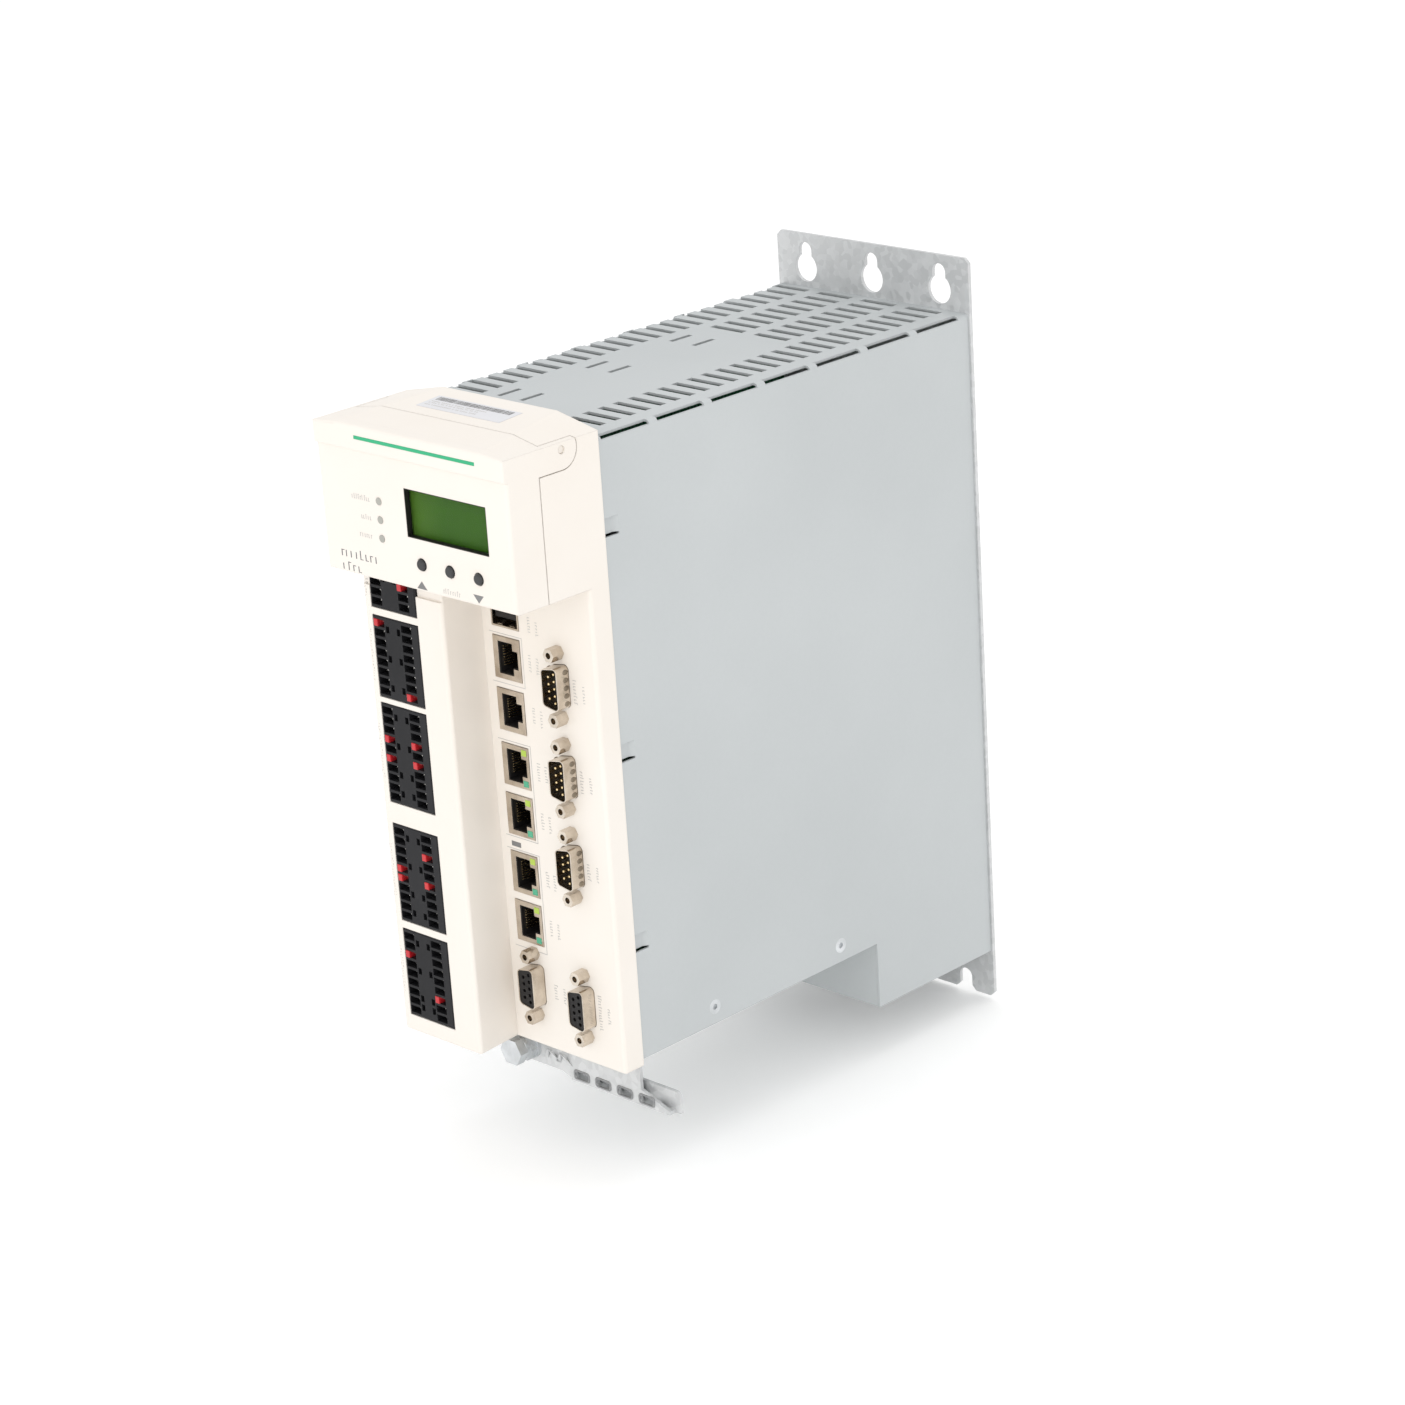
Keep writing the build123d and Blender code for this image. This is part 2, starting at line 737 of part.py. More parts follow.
def make_display_flap():
    """The hinged half of the hood: a shallow shell with a raised band along its top edge."""
    body = hood_envelope(0)
    front_edges = body.faces().sort_by(Axis.Y)[0].edges()
    body = fillet([e for e in front_edges if e.center().Z < hood_side_top], 1.5)
    band = hood_envelope(-0.01)
    band = Pos(0, -band_step, 0) * band
    band &= box_between(-plate_w, plate_w, flap_y - 5, flap_y + 3, band_low, 200)
    front_band_edges = band.faces().sort_by(Axis.Y)[0].edges()
    band = fillet(front_band_edges, 0.9)
    shell = body + band
    shell -= hood_envelope(flap_wall, 2.0)
    shell &= flap_region(0)
    shell -= box_between(window_x - window_w / 2, window_x + window_w / 2, flap_y - 5, flap_y + 5,
                         window_z - window_h / 2, window_z + window_h / 2)
    for x in button_places():
        shell -= rod_along_y(x, button_z, flap_y - 2, 6, button_r + button_gap)
    for step in (-1, 0, 1):
        shell -= rod_along_y(lens_x, lens_z + step * lens_pitch, flap_y - 2, 6, lens_r)
    shell -= box_between(stripe_x - stripe_w / 2, stripe_x + stripe_w / 2,
                         flap_y - band_step - 1, flap_y - band_step + stripe_t,
                         stripe_z - stripe_h / 2, stripe_z + stripe_h / 2)
    for side in (-1, 1):
        shell -= rod_along_x(pivot_y, pivot_z, side * half_frame - 4, 8, pin_r + pin_clear)
    # Four posts behind the face carry the display board.
    for x, z in display_posts():
        shell += rod_along_y(x, z, flap_y + flap_wall - 0.5, post_len + 0.5, post_r)
    return shell


def display_posts():
    """Where the display board is screwed to the flap."""
    columns = (post_middle_x - post_half_x, post_middle_x + post_half_x)
    return [(x, hood_bottom + z) for z in (post_low, post_high) for x in columns]


def make_accent_strip():
    return box_between(stripe_x - stripe_w / 2, stripe_x + stripe_w / 2,
                       flap_y - band_step - 0.05, flap_y - band_step + stripe_t,
                       stripe_z - stripe_h / 2, stripe_z + stripe_h / 2)


def make_display_window():
    """A clear pane bonded behind the opening."""
    half_w = window_w / 2 + pane_lap
    half_h = window_h / 2 + pane_lap
    return box_between(window_x - half_w, window_x + half_w, flap_y + flap_wall,
                       flap_y + flap_wall + pane_t, window_z - half_h, window_z + half_h)


def make_display_module():
    """The liquid-crystal cell and its backlight between the pane and the board."""
    half_w = window_w / 2 + pane_lap / 2
    half_h = window_h / 2 + pane_lap / 2
    return box_between(window_x - half_w, window_x + half_w, flap_y + flap_wall + pane_t,
                       display_board_y, window_z - half_h, window_z + half_h)


def make_display_board():
    margin = 3.5
    board = box_between(post_middle_x - post_half_x - margin, post_middle_x + post_half_x + margin,
                        display_board_y, display_board_y + board_t,
                        hood_bottom + post_low - margin, hood_bottom + post_high + margin)
    for x, z in display_posts():
        board -= rod_along_y(x, z, display_board_y - board_t, 3 * board_t, post_screw_r)
    return board


def make_status_lenses():
    """Three short light guides from the board's lamps to the face."""
    return group(rod_along_y(lens_x, lens_z + step * lens_pitch, flap_y - 0.2,
                             flap_wall + post_len + 0.2, lens_r) for step in (-1, 0, 1))


def make_button(x):
    """A key cap with a collar behind the face that stops it falling out."""
    collar_y = flap_y + flap_wall + button_gap
    cap = rod_along_y(x, button_z, flap_y - button_proud, collar_y - flap_y + button_proud, button_r)
    cap = fillet(cap.faces().sort_by(Axis.Y)[0].edges(), 0.7)
    collar = rod_along_y(x, button_z, collar_y, collar_t, collar_r)
    stem_end = display_board_y - switch_h - knob_h - button_travel - 0.1
    stem = rod_along_y(x, button_z, collar_y + collar_t, stem_end - collar_y - collar_t, stem_r)
    return cap + collar + stem


def make_key_switches():
    """The tact switches that the keys press, on the display board."""
    solids = []
    for x in button_places():
        half = switch_side / 2
        base = box_between(x - half, x + half, display_board_y - switch_h, display_board_y,
                           button_z - half, button_z + half)
        knob = rod_along_y(x, button_z, display_board_y - switch_h - knob_h, 2 * knob_h, 1.6)
        solids.append(base + knob)
    return group(solids)


def make_hinge_pins():
    """Two steel pins set in the frame's cheeks; the flap's ears turn on them."""
    pins = []
    for side in (-1, 1):
        end = side * (half_frame - 0.6)
        start = min(end, end - side * pin_len)
        pins.append(rod_along_x(pivot_y, pivot_z, start, pin_len, pin_r))
    return group(pins)


def make_type_label():
    """The printed sticker on the hood's crown."""
    skin = hood_envelope(-0.12) - hood_envelope(0)
    return skin & box_between(-23.0, 20.5, pivot_y - 1.6, pivot_y + 10.0, hood_side_top, 200)


def make_flap_screws():
    """The small screws that fix the display board to its posts."""
    screws = []
    for x, z in display_posts():
        head = rod_along_y(x, z, display_board_y + board_t, 1.4, post_r)
        shank = rod_along_y(x, z, display_board_y, board_t + 0.1, post_screw_r)
        screws.append(head + shank)
    return group(screws)


# ---------------------------------------------------------------- terminal headers
def way_places(ways, middle_z):
    """Heights of a header's ways, from the top down."""
    return [middle_z + ((ways - 1) / 2 - way) * way_pitch for way in range(ways)]


def column_places():
    """The two columns of cavities, left and right."""
    middle = header_x + cavity_shift
    return [middle - cavity_spacing / 2, middle + cavity_spacing / 2]


def latch_gaps(ways):
    """The gaps between ways, counted from the top, that have a pair of latch holes."""
    return [gap for gap in (0, 3, 6) if gap < ways - 1] + ([ways - 2] if ways > 8 else [])


def make_header(ways, z):
    """A two-column header: a square cavity for each way and a solid rib down the middle."""
    half = header_height(ways) / 2
    block = box_between(header_x - header_w / 2, header_x + header_w / 2, header_front, io_board_y,
                        z - half, z + half)
    block = chamfer(block.faces().sort_by(Axis.Y)[0].edges(), 0.5)
    heights = way_places(ways, z)
    cutters = []
    for x in column_places():
        for way_z in heights:
            cutters.append(box_between(x - cavity_w / 2, x + cavity_w / 2, header_front - 1,
                                       header_front + cavity_depth, way_z - cavity_h / 2,
                                       way_z + cavity_h / 2))
        for gap in latch_gaps(ways):
            hole_z = (heights[gap] + heights[gap + 1]) / 2
            inward = 1 if x < header_x else -1
            hole_x = x + inward * (cavity_w + latch_hole_w + 1.4) / 2
            cutters.append(box_between(hole_x - latch_hole_w / 2, hole_x + latch_hole_w / 2,
                                       header_front - 1, header_front + latch_hole_depth,
                                       hole_z - latch_hole_h / 2, hole_z + latch_hole_h / 2))
    return block - cutters


def make_terminal_pins():
    """One square pin in each cavity, soldered to the board behind."""
    pins = []
    half = pin_side / 2
    tip = header_front + pin_recess
    for ways, z in zip(header_ways, header_z):
        for x in column_places():
            for way_z in way_places(ways, z):
                pin = box_between(x - half, x + half, tip, header_front + cavity_depth,
                                  way_z - half, way_z + half)
                pins.append(pin)
    return group(pins)


# Each key is header, column and way, counted from the top left.


def make_coding_keys():
    """Red keys that fill the cavity mouth beside a pin, so a plug fits one header only."""
    keys = []
    front = header_front - 0.4
    for header, column, way in key_places:
        x = column_places()[column]
        z = way_places(header_ways[header], header_z[header])[way]
        key = box_between(x - cavity_w / 2, x - pin_side / 2 - fit_gap, front, front + key_len,
                          z - cavity_h / 2, z + cavity_h / 2)
        keys.append(fillet(key.faces().sort_by(Axis.Y)[0].edges(), 0.3))
    return group(keys)


# ---------------------------------------------------------------- network jacks


def lamp_places(z):
    """A lit jack's two lamps, in the corners on its latch side."""
    x = jack_x + (jack_w - lamp_w) / 2 - lamp_edge
    offset = (jack_h - lamp_h) / 2 - lamp_edge
    return [(x, z + offset), (x, z - offset)]


def plug_bay(z, y0, y1, grow=0.0):
    """The stepped mouth that takes the plug and its latch."""
    x = jack_x + plug_bay_shift
    main = box_between(x - plug_bay_w / 2 - grow, x + plug_bay_w / 2 + grow, y0, y1,
                       z - plug_bay_h / 2 - grow, z + plug_bay_h / 2 + grow)
    latch = box_between(x, x + plug_bay_w / 2 + latch_bay_w + grow, y0, y1,
                        z - latch_bay_h / 2 - grow, z + latch_bay_h / 2 + grow)
    return main + latch


def jack_block(index, y_front, y_back, inset):
    """A jack's outer block, drawn inside the can by inset."""
    half_w = jack_w / 2 - inset
    half_h = jack_h / 2 - inset
    z = jack_z[index]
    return box_between(jack_x - half_w, jack_x + half_w, y_front, y_back, z - half_h, z + half_h)


def lamp_block(x, z, y_front, y_back):
    """The space of one lamp."""
    return box_between(x - lamp_w / 2, x + lamp_w / 2, y_front, y_back,
                       z - lamp_h / 2, z + lamp_h / 2)


def make_jack_shield(index):
    """The drawn metal can round one jack, open to the board behind."""
    can = jack_block(index, jack_front, connector_board_y, 0)
    can -= jack_block(index, jack_front + jack_wall, connector_board_y + 1, jack_wall)
    can -= plug_bay(jack_z[index], jack_front - 1, jack_front + 1, 2 * fit_gap)
    if index in lit_jacks:
        for x, z in lamp_places(jack_z[index]):
            can -= lamp_block(x, z, jack_front - 1, jack_front + 1)
    return can


def make_jack_insert(index):
    """The black moulding inside the can, with the plug's bay."""
    body = jack_block(index, jack_front + jack_wall, connector_board_y, jack_wall)
    body -= plug_bay(jack_z[index], jack_front - 1, jack_front + plug_bay_depth)
    if index in lit_jacks:
        for x, z in lamp_places(jack_z[index]):
            body -= lamp_block(x, z, jack_front - 1, jack_front + lamp_depth)
    return body


def make_jack_contacts():
    """Eight sprung contacts lean out from each bay's contact side."""
    wires = []
    x = jack_x + plug_bay_shift - plug_bay_w / 2
    y_tip = jack_front + 2.0
    y_root = jack_front + 10.0
    for z in jack_z:
        for way in range(8):
            wire_z = z + (way - 3.5) * contact_pitch
            path = [
                (x, y_tip),
                (x + 1.9, y_root),
                (x + 2.4, y_root),
                (x + 0.5, y_tip),
            ]
            face = make_face(Polyline(path, close=True))
            wires.append(Pos(0, 0, wire_z - contact_w / 2) * extrude(face, contact_w))
    return group(wires)


def make_jack_lamps():
    """The light guides of the lit jacks."""
    return group(lamp_block(x, z, jack_front - 0.1, jack_front + lamp_depth)
                 for index in lit_jacks for x, z in lamp_places(jack_z[index]))


# ---------------------------------------------------------------- serial bus port
def make_usb_shell():
    """The folded steel shell of the serial bus port."""
    front = panel_y - header_proud
    half_w = usb_w / 2
    half_h = usb_h / 2
    shell = box_between(usb_x - half_w, usb_x + half_w, front, connector_board_y,
                        usb_z - half_h, usb_z + half_h)
    half_w -= usb_wall
    half_h -= usb_wall
    shell -= box_between(usb_x - half_w, usb_x + half_w, front - 1, connector_board_y - usb_wall,
                         usb_z - half_h, usb_z + half_h)
    return shell


def make_usb_tongue():
    """The insulator: a back wall and the tongue that carries the contacts."""
    back = connector_board_y - usb_wall
    half_w = usb_w / 2 - usb_wall
    half_h = usb_h / 2 - usb_wall
    block = box_between(usb_x - half_w, usb_x + half_w, back - 3, back,
                        usb_z - half_h, usb_z + half_h)
    tongue = box_between(usb_x - half_w + 0.9, usb_x + half_w - 0.9, panel_y + 0.8, back - 2.9,
                         usb_z - 0.2, usb_z + 1.7)
    return block + tongue


# ---------------------------------------------------------------- nine-way ports


def make_dsub_shell(x, z):
    """The drawn shell with its flange behind the panel."""
    front = panel_y - dsub_reach
    length = dsub_flange_back - front
    flange = box_between(x - dsub_flange_w / 2, x + dsub_flange_w / 2, dsub_flange_y,
                         dsub_flange_back, z - dsub_flange_h / 2, z + dsub_flange_h / 2)
    shell = d_prism(x, z, front, length) + flange
    shell -= d_prism(x, z, front - 1, length + 2, -dsub_shell_t)
    for side in (-1, 1):
        hole_z = z + side * dsub_screw_pitch / 2
        shell -= rod_along_y(x, hole_z, dsub_flange_y - 1, 3, jackscrew_r)
    return shell


def dsub_contacts(x, z):
    """Nine contact places: five on the wide side, four on the narrow side."""
    wide = [(x + dsub_row / 2, z + (way - 2) * dsub_pitch) for way in range(5)]
    narrow = [(x - dsub_row / 2, z + (way - 1.5) * dsub_pitch) for way in range(4)]
    return wide + narrow


def make_dsub_inserts():
    """The insulators: sunk in the plugs, and nearly flush and drilled in the sockets."""
    solids = []
    for x, z, is_plug in dsub_places():
        front = panel_y - (0.2 if is_plug else dsub_reach - 0.4)
        block = d_prism(x, z, front, dsub_flange_back - front, -dsub_shell_t)
        back = box_between(x - dsub_flange_w / 2 + 1, x + dsub_flange_w / 2 - 1, dsub_flange_back,
                           connector_board_y, z - dsub_long / 2 - 1, z + dsub_long / 2 + 1)
        body = block + back
        for px, pz in dsub_contacts(x, z):
            if is_plug:
                body -= rod_along_y(px, pz, front - 1, connector_board_y - front + 2,
                                    contact_pin_r)
            else:
                body -= rod_along_y(px, pz, front - 1, 6, contact_hole_r)
        solids.append(body)
    return group(solids)


def make_dsub_pins():
    """The plugs' round pins."""
    pins = []
    for x, z, is_plug in dsub_places():
        if is_plug:
            for px, pz in dsub_contacts(x, z):
                front = panel_y - dsub_reach + 0.9
                pin = rod_along_y(px, pz, front, connector_board_y - front, contact_pin_r)
                pins.append(fillet(pin.faces().sort_by(Axis.Y)[0].edges(), 0.3))
    return group(pins)


def make_jackscrews():
    """Hexagon standoffs beside each nine-way port, with a stud through the panel."""
    screws = []
    for x, z, is_plug in dsub_places():
        for side in (-1, 1):
            screw_z = z + side * dsub_screw_pitch / 2
            front = panel_y - jackscrew_len
            body = hex_along_y(x, screw_z, front, jackscrew_len, jackscrew_hex)
            body -= rod_along_y(x, screw_z, front - 1, jackscrew_len - 0.4, jackscrew_bore_r)
            stud = rod_along_y(x, screw_z, panel_y - 0.1, wall + dsub_flange_t + 3.1, jackscrew_r)
            screws.append(body + stud)
    return group(screws)


# ---------------------------------------------------------------- shield bracket and earth stud


def make_shield_bracket():
    """The folded strip under the front: cables are tied to its slots and earthed against it."""
    top = housing_bottom - bracket_t
    neck = 2.4
    web_points = [
        (bracket_left, housing_bottom),
        (web_right, housing_bottom),
        (web_right, housing_bottom - web_corner_drop),
        (upstand_right - neck, web_low + bracket_t),
        (upstand_right - neck, web_low),
        (upstand_left + neck, web_low),
        (upstand_left - 2 * neck, web_low + neck),
        (bracket_left + 3 * neck, web_low + neck),
        (bracket_left, web_low + 3 * neck),
    ]
    web_face = make_face(Polyline([(x, web_y, z) for x, z in web_points], close=True))
    web = extrude(web_face, bracket_t, dir=(0, 1, 0))
    flange = box_between(bracket_left, web_right - 3, web_y, web_y + bracket_foot, top,
                         housing_bottom)
    up_y = web_y + bracket_t + channel_gap
    upstand = box_between(upstand_left, upstand_right, up_y, up_y + bracket_t,
                          web_low, web_low + upstand_h)
    corner = [e for e in upstand.edges().filter_by(Axis.Y) if e.center().X > upstand_right - 1]
    upstand = fillet([e for e in corner if e.center().Z > web_low + 1], neck)
    fold = box_between(upstand_left, upstand_right - neck, web_y, up_y + bracket_t,
                       web_low, web_low + bracket_t)
    bracket = web + flange + upstand + fold
    for slot in range(4):
        x = tie_first + slot * tie_pitch
        half_run = (tie_slot_w - tie_slot_h) / 2
        bracket -= box_between(x - half_run, x + half_run, web_y - 1, web_y + bracket_t + 0.5,
                               tie_z - tie_slot_h / 2, tie_z + tie_slot_h / 2)
        for end in (-half_run, half_run):
            bracket -= rod_along_y(x + end, tie_z, web_y - 1, bracket_t + 1.5, tie_slot_h / 2)
    bracket -= rod_along_y(earth_x, earth_z, web_y - 1, bracket_t + 2, earth_r)
    for x in bracket_screw_x:
        bracket -= Pos(x, bracket_flange_y, housing_bottom) * Cylinder(floor_screw_r, 4 * bracket_t)
    return bracket


def make_bracket_screws():
    """Two screws from below clamp the bracket's flange to the floor pan."""
    screws = []
    top = housing_bottom - bracket_t
    head_h = 2.2
    for x in bracket_screw_x:
        head = Pos(x, bracket_flange_y, top - head_h / 2) * Cylinder(2 * floor_screw_r, head_h)
        head -= Pos(x, bracket_flange_y, top - head_h) * extrude(RegularPolygon(1.3, 6), 1.4)
        shank = Pos(x, bracket_flange_y, top + 2.0) * Cylinder(floor_screw_r, 4.0)
        screws.append(head + shank)
    return group(screws)


def make_earth_bolt():
    """The protective-earth screw: hexagon head outwards, shank through the bracket."""
    head_t = 4.0
    front = web_y - earth_reach
    head = hex_along_y(earth_x, earth_z, front, head_t, earth_hex)
    shank_len = earth_reach - head_t + bracket_t + 5.1
    shank = rod_along_y(earth_x, earth_z, front + head_t - 0.1, shank_len, earth_r)
    return head + shank


def make_earth_nuts():
    """The nut that holds the screw captive in front and the one behind the bracket."""
    nut_t = 3.4
    washer_t = 1.6
    nuts = []
    for front in (web_y - washer_t - nut_t, web_y + bracket_t):
        nut = hex_along_y(earth_x, earth_z, front, nut_t, earth_hex)
        nuts.append(nut - rod_along_y(earth_x, earth_z, front - 1, nut_t + 2, earth_r))
    return group(nuts)


def make_earth_washers():
    """A broad flat washer on the bracket and a lock washer under the head."""
    washer_t = 1.6
    washers = []
    for front, radius in ((web_y - washer_t, 2 * earth_r), (web_y - earth_reach + 4.0, 5.2)):
        washer = rod_along_y(earth_x, earth_z, front, washer_t, radius)
        washers.append(washer - rod_along_y(earth_x, earth_z, front - 1, washer_t + 2, earth_r))
    return group(washers)


def make_housing_screws():
    """Flush socket screws through the housing's sides into the floor pan's flanges."""
    screws = []
    length = 5.7
    for side in (-1, 1):
        for y, z in side_screw_places():
            cone = Cone(floor_screw_head_r, floor_screw_head_r - sheet_t, sheet_t)
            head = Rot(0, -90 * side, 0) * cone
            head = Pos(side * (half_housing - sheet_t / 2), y, z) * head
            root = side * (inner_x + 0.2)
            shank = rod_along_x(y, z, min(root, root - side * length), length, floor_screw_r)
            screw = head + shank
            socket = extrude(RegularPolygon(1.25, 6), 1.6)
            socket = Pos(side * (half_housing - 0.8), y, z) * Rot(0, 90 * side, 0) * socket
            screws.append(screw - socket)
    return group(screws)


# ---------------------------------------------------------------- electronics
def main_posts():
    """Where the control board is screwed to the left side."""
    return [(y, z) for y in (housing_front + 22, plate_front - 24)
            for z in (housing_top - 21, housing_bottom + 29)]


def power_posts():
    """Where the supply board is screwed to the right side."""
    return [(y, z) for y in (housing_front + 27, plate_front - 39)
            for z in (hood_bottom - 50, housing_bottom + 27)]


def make_main_board():
    """The control board, upright against the left side."""
    rear = plate_front - 12
    board = box_between(main_board_x, main_board_x + board_t, io_board_y + board_t + board_gap,
                        rear, housing_bottom + 15, housing_top - 11)
    # The board's upper front corner is cut away behind the hood's inner wall.
    board -= box_between(main_board_x - 1, main_board_x + 3, io_board_y, bay_y + 6,
                         hood_bottom - 2, housing_top)
    for y, z in main_posts():
        board -= rod_along_x(y, z, main_board_x - 1, 2 * board_t, board_screw_r)
    return board


def make_connector_board():
    """The board behind the port panel; the jacks and ports are soldered to it."""
    board = box_between(tower_x + 1, half_frame - 2 * wall, connector_board_y,
                        connector_board_y + board_t, housing_bottom + 4, hood_bottom - 4)
    for x, z in panel_posts():
        board -= rod_along_y(x, z, connector_board_y - board_t, 3 * board_t, post_screw_r)
    return board


def make_io_board():
    """The board behind the terminal headers."""
    board = box_between(-half_frame + wall + board_gap, tower_x - tower_draft - wall - board_gap,
                        io_board_y, io_board_y + board_t, frame_bottom + 2 * wall, hood_bottom - 1)
    for x, z in io_posts():
        board -= rod_along_y(x, z, io_board_y - board_t, 3 * board_t, post_screw_r)
    return board


def make_power_board():
    """The supply board, upright near the right side."""
    board = box_between(power_board_x, power_board_x + board_t, housing_front + 14.5,
                        plate_front - 27, housing_bottom + 15, hood_bottom - 38)
    for y, z in power_posts():
        board -= rod_along_x(y, z, power_board_x - 1, 2 * board_t, board_screw_r)
    return board


def make_board_posts():
    """Hexagon posts between the housing's sides and the two upright boards."""
    posts = []
    for places, wall_x, board_x in ((main_posts(), -inner_x, main_board_x),
                                    (power_posts(), inner_x, power_board_x + board_t)):
        for y, z in places:
            length = abs(wall_x - board_x)
            profile = RegularPolygon(board_post_flats / 2, 6, major_radius=False)
            post = Pos(min(wall_x, board_x), y, z) * Rot(0, 90, 0) * extrude(profile, length)
            post -= rod_along_x(y, z, board_x - post_screw_depth, 2 * post_screw_depth,
                                board_screw_r)
            posts.append(post)
    return group(posts)


def make_board_screws():
    """The pan-head screws that hold the upright boards to their posts."""
    screws = []
    shank_len = board_t + post_screw_depth
    for y, z in main_posts():
        face = main_board_x + board_t
        head = rod_along_x(y, z, face, board_screw_head_t, board_screw_head_r)
        screws.append(head + rod_along_x(y, z, face - shank_len, shank_len, board_screw_r))
    for y, z in power_posts():
        head = rod_along_x(y, z, power_board_x - board_screw_head_t, board_screw_head_t,
                           board_screw_head_r)
        screws.append(head + rod_along_x(y, z, power_board_x, shank_len, board_screw_r))
    for board_y, places in ((io_board_y, io_posts()), (connector_board_y, panel_posts())):
        for x, z in places:
            head = rod_along_y(x, z, board_y + board_t, board_screw_head_t, board_screw_head_r)
            screws.append(head + rod_along_y(x, z, board_y, board_t, post_screw_r))
    return group(screws)


def make_heat_sink():
    """The finned block on the processor."""
    base_x = main_board_x + board_t
    y0 = housing_front / 2 - 50
    z0 = housing_top - 43.5 - sink_h
    sink = box_between(base_x, base_x + sink_base, y0, y0 + sink_w, z0, z0 + sink_h)
    step = (sink_h - sink_fin_t) / (sink_fins - 1)
    for fin in range(sink_fins):
        z = z0 + fin * step
        sink += box_between(base_x + sink_base / 2, base_x + sink_base + sink_fin_h,
                            y0, y0 + sink_w, z, z + sink_fin_t)
    return sink


def make_transformer():
    """The isolating transformer: a laminated core round a wound bobbin."""
    y = plate_front - 62.5
    z = housing_bottom + 54
    core = box_between(power_board_x - core_w, power_board_x, y - core_d / 2, y + core_d / 2,
                       z - core_h / 2, z + core_h / 2)
    coil = box_between(power_board_x - core_w + 4, power_board_x - 4,
                       y - core_d / 2 - coil_lap, y + core_d / 2 + coil_lap,
                       z - core_h / 4, z + core_h / 4)
    return core + coil


def make_capacitors():
    """Smoothing capacitors, lying across from the supply board."""
    cans = []
    pitch = 2 * can_r + 8
    first_y = plate_front - 112
    first_z = housing_bottom + 41
    for row in range(2):
        for column in range(2):
            can = rod_along_x(first_y - column * pitch, first_z + row * pitch,
                              power_board_x - can_len, can_len, can_r)
            cans.append(fillet(can.faces().sort_by(Axis.X)[0].edges(), 1.5))
    return group(cans)


def make_card_slot():
    """The sleeve behind the flap that takes the memory card."""
    half_w = card_w / 2
    half_h = card_t / 2
    rear = bay_y + card_len
    sleeve = box_between(card_x - half_w - sleeve_wall, card_x + half_w + sleeve_wall,
                         bay_y - wall - 0.4, rear, card_z - half_h - sleeve_wall,
                         card_z + half_h + sleeve_wall)
    # A flange bears on the back of the inner wall.
    lip = sleeve_wall + 2
    sleeve += box_between(card_x - half_w - lip, card_x + half_w + lip, bay_y, bay_y + 1.2,
                          card_z - half_h - lip, card_z + half_h + lip)
    sleeve -= box_between(card_x - half_w - 0.1, card_x + half_w + 0.1, bay_y - 2 * wall,
                          rear - 2, card_z - half_h - 0.05, card_z + half_h + 0.05)
    return sleeve


def make_memory_card():
    rear = bay_y + card_len - 2
    return box_between(card_x - card_w / 2, card_x + card_w / 2, rear - card_len, rear,
                       card_z - card_t / 2, card_z + card_t / 2)


def make_backup_cell():
    """The coin cell that keeps the clock running, in its round cup behind the flap."""
    return rod_along_y(cell_x, cell_z, bay_y - wall, cell_t, cell_r)


# ---------------------------------------------------------------- fan


def fan_holes():
    """The four corner holes that hold the fan to the floor pan."""
    half = fan_hole_pitch / 2
    return [(fan_x + dx, fan_y + dy) for dx in (-half, half) for dy in (-half, half)]


def make_fan_frame():
    """The fan's square frame with its motor seat and shaft on three arms."""
    half = fan_size / 2
    frame = box_between(fan_x - half, fan_x + half, fan_y - half, fan_y + half,
                        fan_z, fan_z + fan_h)
    frame -= Pos(fan_x, fan_y, fan_z + fan_h / 2) * Cylinder(fan_bore / 2, fan_h + 2)
    for x, y in fan_holes():
        frame -= Pos(x, y, fan_z + fan_h / 2) * Cylinder(fan_hole_r, fan_h + 2)
    frame += Pos(fan_x, fan_y, fan_z + fan_arm_t / 2) * Cylinder(fan_hub_r, fan_arm_t)
    for arm in range(3):
        bar = Pos(fan_bore / 4 + 1, 0, fan_arm_t / 2) * Box(fan_bore / 2, 4, fan_arm_t)
        frame += Pos(fan_x, fan_y, fan_z) * Rot(0, 0, 30 + 120 * arm) * bar
    frame += Pos(fan_x, fan_y, fan_z + (fan_h - 1) / 2) * Cylinder(pin_r, fan_h - 1)
    return frame


def make_fan_screws():
    """Pan-head screws from below, through the floor pan and the fan's corner holes."""
    screws = []
    for x, y in fan_holes():
        head = Pos(x, y, rear_box_bottom - 1.0) * Cylinder(1.8 * fan_hole_r, 2.0)
        shank = Pos(x, y, rear_box_bottom + 4.9) * Cylinder(fan_hole_r, 10.0)
        screws.append(head + shank)
    return group(screws)


def make_fan_rotor():
    """The impeller: a hub with pitched blades that turns on the fan's shaft."""
    low = fan_z + fan_arm_t + 1.5
    high = fan_z + fan_h - 2.0
    rotor = Pos(fan_x, fan_y, (low + high) / 2) * Cylinder(fan_hub_r, high - low)
    tip_r = fan_bore / 2 - fan_tip_gap
    for blade in range(fan_blades):
        length = tip_r - fan_hub_r + 2
        vane = Rot(fan_blade_pitch, 0, 0) * Box(length, 14, 1.3)
        vane = Pos(fan_hub_r - 2 + length / 2, 0, 0) * vane
        place = Pos(fan_x, fan_y, (low + high) / 2) * Rot(0, 0, 360 / fan_blades * blade)
        rotor += place * vane
    rotor &= Pos(fan_x, fan_y, (low + high) / 2) * Cylinder(tip_r, high - low)
    rotor -= Pos(fan_x, fan_y, (low + high) / 2) * Cylinder(pin_r + pin_clear, fan_h)
    return rotor


